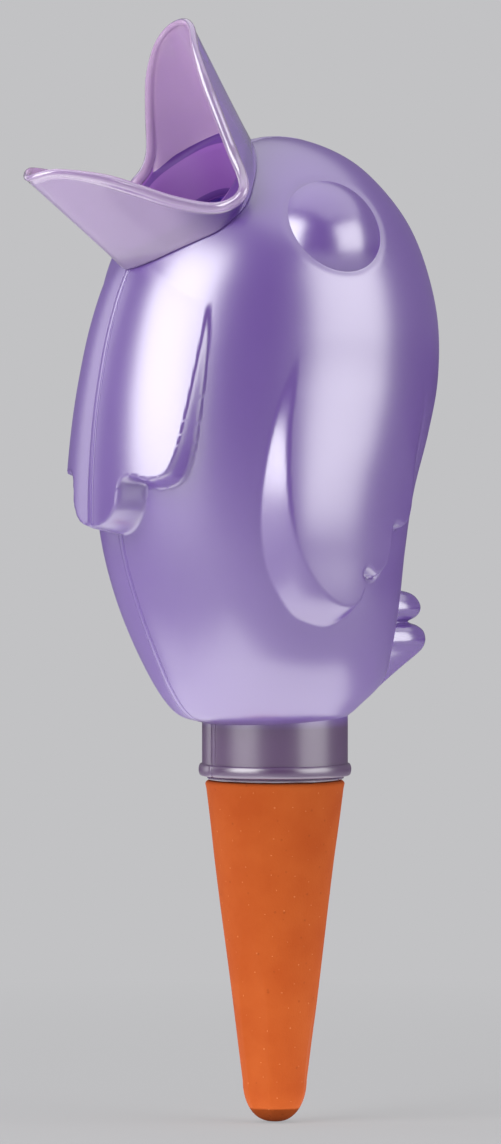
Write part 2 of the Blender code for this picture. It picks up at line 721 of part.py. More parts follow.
def make_beak(parts, material):
    """The beak funnel: both jaws, the rolled rim, the funnel floor and the plug."""
    sections = body_sections(OUTER_ROWS_PER_SPAN)
    to_tip = range(STEPS_PER_JAW_SIDE)
    from_tip = range(STEPS_PER_JAW_SIDE, 0, -1)
    profiles = jaw_profiles(sections, 1, 1, UPPER_RIM, to_tip)
    profiles += jaw_profiles(sections, -1, 1, UPPER_RIM, from_tip)
    profiles += jaw_profiles(sections, -1, -1, LOWER_RIM, to_tip)
    profiles += jaw_profiles(sections, 1, -1, LOWER_RIM, from_tip)
    form = bmesh.new()
    loops = [[form.verts.new(point - beak_ring_centre()) for point in profile] for profile in profiles]
    for loop, following in zip(loops, loops[1:] + loops[:1]):
        for index in range(len(loop)):
            after = (index + 1) % len(loop)
            form.faces.new((loop[index], loop[after], following[after], following[index]))
    bmesh.ops.recalc_face_normals(form, faces=form.faces)
    mesh = bpy.data.meshes.new("beak_funnel")
    form.to_mesh(mesh)
    form.free()
    beak = add_object("beak_funnel", mesh, parts, material)
    beak.location = beak_ring_centre()
    return beak


def main():
    """Build every piece of the watering spike."""
    clear_scene()
    parts = new_collection("bird_watering_spike")
    cutters = new_collection("cutters")
    pearl = plain_material("frosted_pearl_plastic", (0.42, 0.31, 0.66), 0.35)
    clear = plain_material("clear_lilac_plastic", (0.45, 0.33, 0.70), 0.08, transmission=0.6)
    silicone = plain_material("clear_silicone", (0.55, 0.50, 0.58), 0.30)
    clay = plain_material("terracotta", (0.62, 0.17, 0.05), 0.85)
    make_shells(parts, cutters, pearl)
    make_beak(parts, clear)
    make_seal(parts, silicone)
    make_cone(parts, clay)


main()
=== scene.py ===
"""Looks of the bird-shaped watering spike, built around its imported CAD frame.

The moulded bird, its beak funnel, the seal and the clay cone get fine meshes and procedural
finishes. Shapes are worked out in millimetres and built in metres, in the CAD's own frame: +Z
up, beak towards -Y, the bird's left side towards +X, origin on the spike's axis at the soil line.
"""

import logging
import math
from dataclasses import dataclass, field
from enum import Enum

import bmesh
import bpy
import numpy as np
from mathutils import Matrix, Vector


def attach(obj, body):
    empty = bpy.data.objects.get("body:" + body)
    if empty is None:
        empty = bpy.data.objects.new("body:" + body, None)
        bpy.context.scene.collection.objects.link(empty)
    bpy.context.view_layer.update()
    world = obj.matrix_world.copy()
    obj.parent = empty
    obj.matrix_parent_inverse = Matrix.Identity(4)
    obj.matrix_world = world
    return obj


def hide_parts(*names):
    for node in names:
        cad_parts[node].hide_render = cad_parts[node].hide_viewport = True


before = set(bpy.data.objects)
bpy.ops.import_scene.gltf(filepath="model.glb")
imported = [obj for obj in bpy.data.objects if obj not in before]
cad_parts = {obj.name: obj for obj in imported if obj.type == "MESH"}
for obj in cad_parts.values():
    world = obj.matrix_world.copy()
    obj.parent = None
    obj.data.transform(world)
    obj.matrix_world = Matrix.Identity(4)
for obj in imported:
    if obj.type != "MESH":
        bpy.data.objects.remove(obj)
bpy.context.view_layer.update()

LOG = logging.getLogger("watering_spike")
MM = 0.001
TINY = 1e-9
WELD_REACH = 0.002 * MM
SHARP_DEGREES = 50.0

Array = np.ndarray
Material = bpy.types.Material
Socket = bpy.types.NodeSocket
Thing = bpy.types.Object
Tree = bpy.types.NodeTree


class Body(Enum):
    """CAD bodies that pieces ride on."""

    SPIKE = "spike"
    BIRD = "bird"
    BEAK = "beak"


class Slot(Enum):
    """Names of material slots."""

    SHELL = "pearl_shell"
    BEAK = "clear_beak"
    SEAL = "seal"
    CLAY = "clay"


class Side(Enum):
    """Halves of the bird, by the sign of X."""

    LEFT = 1
    RIGHT = -1


class Zone(Enum):
    """Surfaces of the beak funnel that have a finish of their own."""

    INSIDE = 0
    LOWER_JAW = 1
    RIM = 2
    FLOOR = 3
    FOLD = 4
    UPPER_JAW = 5


# Small tools for numbers


def linear(hex_text: str) -> tuple[float, float, float, float]:
    """Turn an sRGB hex colour to linear.

    Args:
        hex_text: Six hex digits.

    Returns:
        Red, green, blue and alpha.
    """
    shares = [int(hex_text[k:k + 2], 16) / 255.0 for k in (0, 2, 4)]
    return (*[s / 12.92 if s <= 0.04045 else ((s + 0.055) / 1.055) ** 2.4 for s in shares], 1.0)


def full_turn(steps: int) -> Array:
    """Even angles of a full turn."""
    return np.arange(steps) * 2.0 * math.pi / steps


def unit(vectors: Array) -> Array:
    """Vectors at length 1."""
    return vectors / np.maximum(np.linalg.norm(vectors, axis=-1, keepdims=True), TINY)


def soft_step(x: Array, start: float, end: float) -> Array:
    """Rise softly from 0 at start to 1 at end."""
    t = np.clip((x - start) / (end - start), 0.0, 1.0)
    return t * t * (3.0 - 2.0 * t)


def catmull(padded: Array, per_span: int) -> Array:
    """Sample a Catmull-Rom curve whose first and last points only set its ends.

    Args:
        padded: Points with one extra at each end.
        per_span: Steps between two points.

    Returns:
        The samples, one row a point.
    """
    samples = [padded[1]]
    for before, start, end, after in zip(padded, padded[1:], padded[2:], padded[3:]):
        for t in np.arange(1, per_span + 1) / per_span:
            samples.append(0.5 * (
                2.0 * start + (end - before) * t
                + (2.0 * before - 5.0 * start + 4.0 * end - after) * t ** 2
                + (3.0 * start - before - 3.0 * end + after) * t ** 3
            ))
    return np.array(samples)


def smooth_path(points: tuple, per_span: int) -> Array:
    """Run a Catmull-Rom curve through all of the points, straight on at both ends."""
    known = np.array(points, dtype=float)
    return catmull(np.vstack([2.0 * known[0] - known[1], known, 2.0 * known[-1] - known[-2]]), per_span)


def path_distance(path: Array, x: Array, y: Array) -> Array:
    """Distance from points to a line of straight pieces.

    Args:
        path: Points of the line.
        x: First coordinates of the points.
        y: Second coordinates of the points.

    Returns:
        The distances.
    """
    nearest = np.full(x.shape, np.inf)
    for (x0, y0), (x1, y1) in zip(path[:-1], path[1:]):
        run_x, run_y = x1 - x0, y1 - y0
        length = max(run_x ** 2 + run_y ** 2, TINY ** 2)
        t = np.clip(((x - x0) * run_x + (y - y0) * run_y) / length, 0.0, 1.0)
        nearest = np.minimum(nearest, (x - x0 - t * run_x) ** 2 + (y - y0 - t * run_y) ** 2)
    return np.sqrt(nearest)


def inside_outline(outline: Array, x: Array, y: Array) -> Array:
    """Whether points lie inside a closed outline.

    Args:
        outline: Corners of the outline.
        x: First coordinates of the points.
        y: Second coordinates of the points.

    Returns:
        True for each point inside.
    """
    inside = np.zeros(x.shape, dtype=bool)
    for (x0, y0), (x1, y1) in zip(outline, np.roll(outline, -1, axis=0)):
        if y0 != y1:
            inside ^= ((y0 > y) != (y1 > y)) & (x < x0 + (y - y0) * (x1 - x0) / (y1 - y0))
    return inside


def turned(radius: Array, heights: Array, angles: Array) -> Array:
    """Points round the spike's axis.

    Args:
        radius: Radius of each point, row by column.
        heights: Height of each row.
        angles: Angle of each column.

    Returns:
        Points, row by column by three.
    """
    level = heights[:, None] + 0.0 * angles
    return np.stack([radius * np.cos(angles), radius * np.sin(angles), level], axis=-1)


def grid_faces(rows: int, columns: int, closed: bool) -> list[tuple[int, ...]]:
    """Quads of a grid of points stored row by row.

    Args:
        rows: Number of rows.
        columns: Number of columns.
        closed: Whether the last column joins the first.

    Returns:
        Index quads.
    """
    quads = []
    for low in range(0, (rows - 1) * columns, columns):
        for column in range(columns if closed else columns - 1):
            right = (column + 1) % columns
            quads.append((low + column, low + right, low + columns + right, low + columns + column))
    return quads


def capped_tube(rows: int, columns: int) -> list[tuple[int, ...]]:
    """Faces of a tube of points stored row by row, closed at both ends."""
    last = (rows - 1) * columns
    return grid_faces(rows, columns, closed=True) + [
        tuple(range(columns)), tuple(range(last, last + columns)),
    ]


# Small tools for objects


def add_object(name: str, data: bpy.types.ID) -> Thing:
    """Put an object in the scene.

    Args:
        name: Name of the object.
        data: Its mesh, lamp or camera.

    Returns:
        The object.
    """
    thing = bpy.data.objects.new(name, data)
    bpy.context.scene.collection.objects.link(thing)
    return thing


def mesh_object(name: str, points: Array, faces: list, finishes: tuple[Material, ...],
                zones: list[int] | None = None, sharp_degrees: float = SHARP_DEGREES) -> Thing:
    """Make a smooth-shaded object of points and faces, with outward faces.

    Args:
        name: Name of the piece.
        points: Points in the part's frame, in millimetres.
        faces: Index tuples.
        finishes: Finishes of the piece.
        zones: Which finish each face gets, or none where all get the first.
        sharp_degrees: Edges that turn more than this stay sharp.

    Returns:
        The object, at the origin.
    """
    mesh = bpy.data.meshes.new(name)
    mesh.from_pydata((points * MM).reshape(-1, 3).tolist(), [], faces)
    for finish in finishes:
        mesh.materials.append(finish)
    if zones is not None:
        mesh.polygons.foreach_set("material_index", np.array(zones, dtype=np.int32))
    form = bmesh.new()
    form.from_mesh(mesh)
    bmesh.ops.remove_doubles(form, verts=form.verts, dist=WELD_REACH)
    bmesh.ops.recalc_face_normals(form, faces=form.faces)
    form.to_mesh(mesh)
    form.free()
    mesh.shade_smooth()
    mesh.set_sharp_from_angle(angle=math.radians(sharp_degrees))
    return add_object(name, mesh)


def settle(thing: Thing, body: Body, stands_for: tuple[str, ...] = ()) -> None:
    """Tie a finished piece to its body and the CAD nodes that it stands for.

    Args:
        thing: The piece.
        body: CAD body that it moves with.
        stands_for: CAD nodes that are hidden for it.
    """
    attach(thing, body.value)
    if stands_for:
        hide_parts(*stands_for)
    LOG.info("%s: %d faces on %s", thing.name, len(thing.data.polygons), body.value)


def apply_modifiers(thing: Thing) -> None:
    """Turn a piece with modifiers to a plain mesh.

    Args:
        thing: The piece.
    """
    graph = bpy.context.evaluated_depsgraph_get()
    mesh = bpy.data.meshes.new_from_object(thing.evaluated_get(graph))
    thing.modifiers.clear()
    thing.data = mesh


# Small tools for node trees


def add_node(tree: Tree, kind: str, inputs: dict | None = None, **settings) -> bpy.types.Node:
    """Add a node with its settings and links.

    Args:
        tree: Node tree that gets the node.
        kind: Type name of the node.
        inputs: Socket name or number to a value, or to an output socket to link.
        **settings: Properties of the node.

    Returns:
        The new node.
    """
    node = tree.nodes.new(kind)
    for name, value in settings.items():
        setattr(node, name, value)
    for socket, value in (inputs or {}).items():
        if isinstance(value, Socket):
            tree.links.new(value, node.inputs[socket])
        else:
            node.inputs[socket].default_value = value
    return node


def noise(tree: Tree, place: Socket, size: float, detail: float) -> Socket:
    """Add a noise with lumps of about a size in metres."""
    inputs = {"Vector": place, "Scale": 1.0 / size, "Detail": detail}
    return add_node(tree, "ShaderNodeTexNoise", inputs).outputs["Fac"]


def ramp(tree: Tree, value: Socket, given: tuple = (0.0, 1.0), wanted: tuple = (0.0, 1.0),
         curve: str = "LINEAR") -> Socket:
    """Map a range of values to another, held at its ends.

    Args:
        tree: Node tree.
        value: Socket with the value.
        given: Start and end of the range that comes in.
        wanted: Start and end of the range that goes out.
        curve: Name of the way to go from one end to the other.

    Returns:
        The socket with the mapped value.
    """
    return add_node(tree, "ShaderNodeMapRange", {
        "Value": value, "From Min": given[0], "From Max": given[1], "To Min": wanted[0], "To Max": wanted[1],
    }, interpolation_type=curve).outputs["Result"]


def blend(tree: Tree, share: Socket, first: Socket | tuple, second: Socket | tuple) -> Socket:
    """Mix two colours: all of the first at share 0, all of the second at share 1."""
    return add_node(tree, "ShaderNodeMix", {0: share, 6: first, 7: second}, data_type="RGBA").outputs[2]


def maths(tree: Tree, operation: str, first: Socket, second: Socket) -> Socket:
    """Work out a number from two."""
    return add_node(tree, "ShaderNodeMath", {0: first, 1: second}, operation=operation).outputs["Value"]


def bump(tree: Tree, height: Socket, strength: float, depth: float) -> Socket:
    """Tilt the surface's normals as a relief of a depth in metres does."""
    inputs = {"Height": height, "Strength": strength, "Distance": depth}
    return add_node(tree, "ShaderNodeBump", inputs).outputs["Normal"]


def geometry_tree(name: str, sizes: dict[str, str]) -> tuple[Tree, bpy.types.Node]:
    """Start a geometry tree with named inputs.

    Args:
        name: Name of the tree.
        sizes: Input name to socket type.

    Returns:
        The tree and its group input node.
    """
    tree = bpy.data.node_groups.new(name, "GeometryNodeTree")
    for direction in ("OUTPUT", "INPUT"):
        tree.interface.new_socket("Geometry", in_out=direction, socket_type="NodeSocketGeometry")
    for label, kind in sizes.items():
        tree.interface.new_socket(label, in_out="INPUT", socket_type=kind)
    return tree, add_node(tree, "NodeGroupInput")


def end_tree(tree: Tree, shape: Socket, material: Material) -> None:
    """End a geometry tree: realise its instances, shade it smooth and give it its finish.

    Args:
        tree: The geometry tree.
        shape: Output socket of the shape.
        material: Finish of the shape.
    """
    real = add_node(tree, "GeometryNodeRealizeInstances", {"Geometry": shape})
    smooth = add_node(tree, "GeometryNodeSetShadeSmooth", {"Geometry": real.outputs["Geometry"]})
    dressed = add_node(tree, "GeometryNodeSetMaterial", {
        "Geometry": smooth.outputs["Geometry"], "Material": material,
    })
    add_node(tree, "NodeGroupOutput", {"Geometry": dressed.outputs["Geometry"]})


def run_nodes(thing: Thing, tree: Tree, sizes: dict[str, float | int]) -> None:
    """Run a geometry tree on an object and keep its result as a plain mesh.

    Args:
        thing: Object that the tree starts from.
        tree: Geometry tree.
        sizes: Values of the tree's named inputs.
    """
    step = thing.modifiers.new("shape", "NODES")
    step.node_group = tree
    for item in tree.interface.items_tree:
        if item.name in sizes:
            step[item.identifier] = sizes[item.name]
    apply_modifiers(thing)


def lip_tree(material: Material) -> Tree:
    """Tree that runs a round bead along a line.

    Args:
        material: Finish of the bead.

    Returns:
        The tree.
    """
    tree, given = geometry_tree("seam_lip", {"Radius": "NodeSocketFloat", "Spacing": "NodeSocketFloat"})
    line = add_node(tree, "GeometryNodeMeshToCurve", {"Mesh": given.outputs["Geometry"]})
    even = add_node(tree, "GeometryNodeResampleCurve", {
        "Curve": line.outputs["Curve"], "Length": given.outputs["Spacing"],
    }, mode="LENGTH")
    section = add_node(tree, "GeometryNodeCurvePrimitiveCircle", {
        "Resolution": 8, "Radius": given.outputs["Radius"],
    })
    bead = add_node(tree, "GeometryNodeCurveToMesh", {
        "Curve": even.outputs["Curve"], "Profile Curve": section.outputs["Curve"], "Fill Caps": True,
    })
    end_tree(tree, bead.outputs["Mesh"], material)
    return tree


def grain_tree(material: Material) -> Tree:
    """Tree that scatters flat grains over a surface.

    Args:
        material: Finish of the grains.

    Returns:
        The tree.
    """
    tree, given = geometry_tree("clay_grains", {
        "Spacing": "NodeSocketFloat", "Radius": "NodeSocketFloat", "Seed": "NodeSocketInt",
    })
    seed = given.outputs["Seed"]
    spread = add_node(tree, "GeometryNodeDistributePointsOnFaces", {
        "Mesh": given.outputs["Geometry"], "Distance Min": given.outputs["Spacing"],
        "Density Max": 1.0e5, "Seed": seed,
    }, distribute_method="POISSON")
    grain = add_node(tree, "GeometryNodeMeshIcoSphere", {
        "Radius": given.outputs["Radius"], "Subdivisions": 2,
    })
    size = add_node(tree, "FunctionNodeRandomValue", {"Seed": seed}, data_type="FLOAT_VECTOR")
    smallest, largest = (0.4, 0.4, 0.2), (1.5, 1.5, 0.4)
    size.inputs[0].default_value, size.inputs[1].default_value = smallest, largest
    placed = add_node(tree, "GeometryNodeInstanceOnPoints", {
        "Points": spread.outputs["Points"], "Instance": grain.outputs["Mesh"],
        "Rotation": spread.outputs["Rotation"], "Scale": size.outputs[0],
    })
    end_tree(tree, placed.outputs["Instances"], material)
    return tree


# Finishes


@dataclass(frozen=True)
class Finish:
    """What every finish shares: its name, and a shader laid out on the piece's own coordinates."""

    name: str

    def surface(self, tree: Tree, place: Socket) -> Socket:
        """Build the shader.

        Args:
            tree: Node tree of the material.
            place: Socket with the place on the piece, in metres.

        Returns:
            The shader's output.
        """
        raise NotImplementedError

    def material(self) -> Material:
        """Build the material.

        Returns:
            The material.
        """
        material = bpy.data.materials.new(self.name)
        material.use_nodes = True
        tree = material.node_tree
        tree.nodes.clear()
        place = add_node(tree, "ShaderNodeTexCoord").outputs["Object"]
        add_node(tree, "ShaderNodeOutputMaterial", {"Surface": self.surface(tree, place)})
        return material


@dataclass(frozen=True)
class PearlPlastic(Finish):
    """Moulded pearl polyethylene: titania-coated mica in a lilac plastic, so broad white
    highlights lie over a colour that deepens where the surface faces nothing bright. The thin
    neck shines less, and the clay behind it shows through as a brown cast."""

    name: str = "moulded_pearl_polyethylene"
    colour: str = "754fac"
    shade: str = "6b48a0"
    neck_colour: str = "533361"
    neck_end: tuple = (13.2 * MM, 16.2 * MM)
    roughness: float = 0.31
    neck_roughness: float = 0.31
    shine: float = 0.5
    neck_shine: float = 0.38
    mica_ior: float = 3.0
    mica_spread: float = 0.02
    grain: float = 0.03
    # Emission in the plastic's colour: painted light on a surface that is no lamp (the shell's inside uses
    # it)
    glow: float = 0.0

    def surface(self, tree: Tree, place: Socket) -> Socket:
        """Build the shader.

        Args:
            tree: Node tree of the material.
            place: Socket with the place on the piece, in metres.

        Returns:
            The shader's output.
        """
        # Wall thickness drifts over some 40 mm; the mica shows as grain of about 0.4 mm
        drift, flake = noise(tree, place, 40.0 * MM, 2.0), noise(tree, place, 0.4 * MM, 1.0)
        tint = blend(tree, drift, linear(self.colour), linear(self.shade))
        height = add_node(tree, "ShaderNodeSeparateXYZ", {"Vector": place}).outputs["Z"]
        above_neck = ramp(tree, height, self.neck_end)
        smooth = ramp(tree, above_neck, wanted=(self.neck_roughness, self.roughness))
        mica = ramp(tree, flake, (0.3, 0.7), (-self.mica_spread, self.mica_spread))
        return add_node(tree, "ShaderNodeBsdfPrincipled", {
            "Base Color": blend(tree, above_neck, linear(self.neck_colour), tint),
            "Roughness": maths(tree, "ADD", smooth, mica),
            "Normal": bump(tree, flake, self.grain, 0.1 * MM),
            "IOR": self.mica_ior,
            "Specular IOR Level": ramp(tree, above_neck, wanted=(self.neck_shine, self.shine)),
            "Emission Color": linear(self.colour),
            "Emission Strength": self.glow,
        }).outputs["BSDF"]


@dataclass(frozen=True)
class ClearPlastic(Finish):
    """Injection-moulded clear polystyrene with a lilac dye: see-through, deeper in colour
    where the eye looks through more of it, and milky where its mould was matt."""

    name: str = "clear_lilac_polystyrene"
    colour: str = "eac6f0"
    ior: float = 1.59
    roughness: float = 0.10
    haze_share: float = 0.5
    gloss: float = 0.0
    gloss_roughness: float = 0.06
    gloss_ior: float = 2.1
    # Painted shade: colour by the mouth's corners, where its left corner is, and reach of all and of none of
    # it
    corner_shade_colour: str = ""
    corner: tuple = (25.2 * MM, -24.9 * MM, 146.0 * MM)
    corner_fade: tuple = (5.0 * MM, 21.0 * MM)

    def corner_shade_tint(self, tree: Tree, place: Socket) -> Socket:
        """Deepen the colour towards the mouth's two corners: painted shade.

        Args:
            tree: Node tree of the material.
            place: Socket with the place on the piece.

        Returns:
            The socket with the colour.
        """
        sizes = add_node(tree, "ShaderNodeVectorMath", {0: place}, operation="ABSOLUTE")
        left_side = add_node(tree, "ShaderNodeVectorMath", {
            0: sizes.outputs["Vector"], 1: (1.0, -1.0, 1.0),
        }, operation="MULTIPLY")
        away = add_node(tree, "ShaderNodeVectorMath", {
            0: left_side.outputs["Vector"], 1: self.corner,
        }, operation="DISTANCE")
        share = ramp(tree, away.outputs["Value"], self.corner_fade, (1.0, 0.0), "SMOOTHSTEP")
        return blend(tree, share, linear(self.colour), linear(self.corner_shade_colour))

    def surface(self, tree: Tree, place: Socket) -> Socket:
        """Build the shader.

        Args:
            tree: Node tree of the material.
            place: Socket with the place on the piece, in metres.

        Returns:
            The shader's output.
        """
        # Flow lines of the mould drift over some 15 mm
        flow = noise(tree, place, 15.0 * MM, 1.0)
        # The base colour carries painted shade towards the mouth's corners where a corner colour is set
        return add_node(tree, "ShaderNodeBsdfPrincipled", {
            "Base Color": self.corner_shade_tint(tree, place) if self.corner_shade_colour else linear(self.colour),
            "Roughness": ramp(tree, flow, wanted=(self.roughness - 0.03, self.roughness + 0.05)),
            "IOR": self.ior,
            "Transmission Weight": 1.0 - self.haze_share,
            "Coat Weight": self.gloss,
            "Coat Roughness": self.gloss_roughness,
            "Coat IOR": self.gloss_ior,
        }).outputs["BSDF"]


@dataclass(frozen=True)
class ClearSilicone(Finish):
    """Clear sealing silicone, laid soft and cured: a wet-looking, milky ring."""

    name: str = "clear_sealing_silicone"
    colour: str = "cfc3cf"

    def surface(self, tree: Tree, place: Socket) -> Socket:
        """Build the shader.

        Args:
            tree: Node tree of the material.
            place: Socket with the place on the piece, in metres.

        Returns:
            The shader's output.
        """
        # Soft lumps of about 3 mm from how it was laid
        lumps = noise(tree, place, 3.0 * MM, 2.0)
        return add_node(tree, "ShaderNodeBsdfPrincipled", {
            "Base Color": linear(self.colour), "Roughness": 0.18, "IOR": 1.41,
            "Transmission Weight": 0.55, "Normal": bump(tree, lumps, 0.4, 0.2 * MM),
        }).outputs["BSDF"]


@dataclass(frozen=True)
class Terracotta(Finish):
    """Unglazed terracotta, cast and fired: dead matt and porous, with paler dust in clouds and a
    few darker iron specks."""

    name: str = "unglazed_terracotta"
    colour: str = "b04c17"
    dust: str = "b9561f"
    iron: str = "8f3c12"

    def surface(self, tree: Tree, place: Socket) -> Socket:
        """Build the shader.

        Args:
            tree: Node tree of the material.
            place: Socket with the place on the piece, in metres.

        Returns:
            The shader's output.
        """
        # Clouds of some 12 mm, pores of about 0.5 mm and iron specks about 3 mm apart
        clouds, pores = noise(tree, place, 12.0 * MM, 4.0), noise(tree, place, 0.5 * MM, 3.0)
        specks = add_node(tree, "ShaderNodeTexVoronoi", {"Vector": place, "Scale": 1.0 / (3.2 * MM)})
        dusty = blend(tree, ramp(tree, clouds, (0.35, 0.65)), linear(self.colour), linear(self.dust))
        speck = ramp(tree, specks.outputs["Distance"], (0.06, 0.13), (0.45, 0.0))
        return add_node(tree, "ShaderNodeBsdfPrincipled", {
            "Base Color": blend(tree, speck, dusty, linear(self.iron)),
            "Roughness": ramp(tree, pores, wanted=(0.82, 0.98)),
            "Normal": bump(tree, pores, 0.35, 0.15 * MM),
            "Specular IOR Level": 0.25,
        }).outputs["BSDF"]


@dataclass(frozen=True)
class StudioGrey(Finish):
    """Seamless matt paper in mid grey: the same to the camera all over, with the part's
    shadow near its foot."""

    name: str = "grey_studio_paper"
    colour: str = "c2c2c4"
    shadow_share: float = 0.35
    shadow_reach: tuple = (0.1, 0.5)

    def surface(self, tree: Tree, place: Socket) -> Socket:
        """Build the shader.

        Args:
            tree: Node tree of the material.
            place: Socket with the place on the piece, in metres.

        Returns:
            The shader's output.
        """
        length = add_node(tree, "ShaderNodeVectorMath", {0: place}, operation="LENGTH")
        near = ramp(tree, length.outputs["Value"], self.shadow_reach, (self.shadow_share, 0.0))
        glow = add_node(tree, "ShaderNodeEmission", {"Color": linear(self.colour)})
        paper = add_node(tree, "ShaderNodeBsdfDiffuse", {"Color": linear(self.colour)})
        seen = add_node(tree, "ShaderNodeMixShader", {
            0: near, 1: glow.outputs["Emission"], 2: paper.outputs["BSDF"],
        })
        rays = add_node(tree, "ShaderNodeLightPath").outputs
        shown = maths(tree, "MAXIMUM", rays["Is Camera Ray"], rays["Is Transmission Ray"])
        return add_node(tree, "ShaderNodeMixShader", {
            0: shown, 1: paper.outputs["BSDF"], 2: seen.outputs["Shader"],
        }).outputs["Shader"]


# The bird


@dataclass
class BreastTuft:
    """Raised breast tuft: a middle lobe over the seam and a shorter lobe on each side.

    Its outline is on the unrolled skin: distance round from the breast, and height.
    """

    middle_lobe: tuple = ((-7.0, 63.0), (0.0, 61.5), (7.0, 63.0), (11.5, 68.0), (12.6, 74.2))
    side_lobe: tuple = (
        (12.6, 74.2), (18.0, 73.3), (23.6, 75.4), (26.4, 81.5), (27.9, 92.0), (28.9, 108.0),
        (28.7, 118.0), (28.0, 130.0),
    )
    far_corner: tuple = (-7.0, 130.0)
    top: float = 128.0
    foot: float = 64.0
    proud: float = 8.2
    most_rise: float = 1.05
    draft: float = 0.32
    least_wall: float = 0.9
    side_drop: float = 9.0
    side_span: tuple = (4.0, 29.0)
    straight_share: float = 0.55
    steps_per_span: int = 8

    def lift(self, around: Array, height: Array) -> Array:
        """How far the tuft stands out of the skin.

        Args:
            around: Millimetres round from the breast.
            height: Millimetres above the soil line.

        Returns:
            The lift in millimetres.
        """
        middle, side = (smooth_path(lobe, self.steps_per_span) for lobe in (self.middle_lobe, self.side_lobe))
        edge = np.vstack([middle, side[1:]])
        outline = np.vstack([edge, [self.far_corner]])
        top = self.top - self.side_drop * soft_step(around, *self.side_span)
        rise = self.proud * np.clip((top - height) / (top - self.foot), 0.0, self.most_rise)
        wall = np.clip(path_distance(edge, around, height) / (self.draft * rise + self.least_wall), 0.0, 1.0)
        profile = self.straight_share * wall + (1.0 - self.straight_share) * soft_step(wall, 0.0, 1.0)
        return np.where(inside_outline(outline, around, height), rise * profile, 0.0)


@dataclass
class FoldedWing:
    """Folded wing on the unrolled skin: a broad bevel along its front edge and three low lobes
    behind."""

    front_edge: tuple = (
        (50.9, 109.5), (48.5, 101.6), (45.7, 90.6), (44.3, 78.3), (43.6, 66.0), (44.3, 56.0),
        (46.1, 48.7), (49.6, 43.0), (54.1, 40.6), (60.4, 39.6), (67.4, 42.0), (71.6, 46.2), (72.2, 52.6),
    )
    face_edge: tuple = (
        (50.9, 109.5), (50.2, 101.6), (49.0, 88.0), (49.4, 75.8), (51.0, 63.5), (53.8, 55.0),
        (58.0, 48.6), (63.4, 45.2), (68.0, 45.2), (71.2, 48.2), (72.0, 52.6),
    )
    rear_lobe: tuple = ((72.2, 52.6), (76.8, 50.8), (81.6, 53.6), (83.6, 58.0), (83.6, 63.2))
    last_lobe: tuple = (
        (83.6, 63.2), (88.0, 62.4), (92.0, 65.0), (93.4, 71.0), (93.4, 80.0), (92.4, 90.0),
        (88.6, 100.0), (80.0, 107.0), (66.0, 110.5), (50.9, 109.5),
    )
    tip: float = 109.5
    full: float = 60.0
    proud: float = 4.8
    bevel_straight: float = 0.85
    rear_share: float = 0.5
    rear_span: tuple = (50.0, 82.0)
    rear_wall: float = 1.9
    crease_depth: float = 0.4
    crease_width: float = 0.7
    melt_span: tuple = (66.0, 100.0)
    melt_wall: float = 14.0
    steps_per_span: int = 6

    def bevel(self, front: Array, rear: Array, around: Array, height: Array) -> Array:
        """Share of the rise across the front bevel: 0 on the front edge, 1 on the wing's face.

        Args:
            front: Line of the front edge.
            rear: Line of the rear edge.
            around: Millimetres round from the breast.
            height: Millimetres above the soil line.

        Returns:
            The shares.
        """
        face = smooth_path(self.face_edge, self.steps_per_span)
        from_front, from_face = path_distance(front, around, height), path_distance(face, around, height)
        share = from_front / np.maximum(from_front + from_face, TINY)
        on_face = inside_outline(np.vstack([face, rear[1:-1]]), around, height)
        share = np.where(on_face, 1.0, share)
        return self.bevel_straight * share + (1.0 - self.bevel_straight) * soft_step(share, 0.0, 1.0)

    def lift(self, around: Array, height: Array) -> Array:
        """How far the wing stands out of the skin.

        Args:
            around: Millimetres round from the breast.
            height: Millimetres above the soil line.

        Returns:
            The lift in millimetres.
        """
        edges = (self.front_edge, self.rear_lobe, self.last_lobe)
        front, middle, last = (smooth_path(edge, self.steps_per_span) for edge in edges)
        rear = np.vstack([middle, last[1:]])
        melt = soft_step(height, *self.melt_span)
        from_rear = path_distance(rear, around, height)
        wall = np.clip(from_rear / (self.rear_wall + self.melt_wall * melt), 0.0, 1.0)
        wall = wall * (2.0 - wall)
        rise = self.proud * soft_step(self.tip - height, 0.0, self.tip - self.full)
        rise = rise * (1.0 - (1.0 - self.rear_share) * soft_step(around, *self.rear_span))
        crease = self.crease_depth * np.exp(-(from_rear / self.crease_width) ** 2) * (1.0 - melt)
        inside = inside_outline(np.vstack([front, rear[1:-1]]), around, height)
        return np.where(inside, rise * self.bevel(front, rear, around, height) * wall, 0.0) - crease


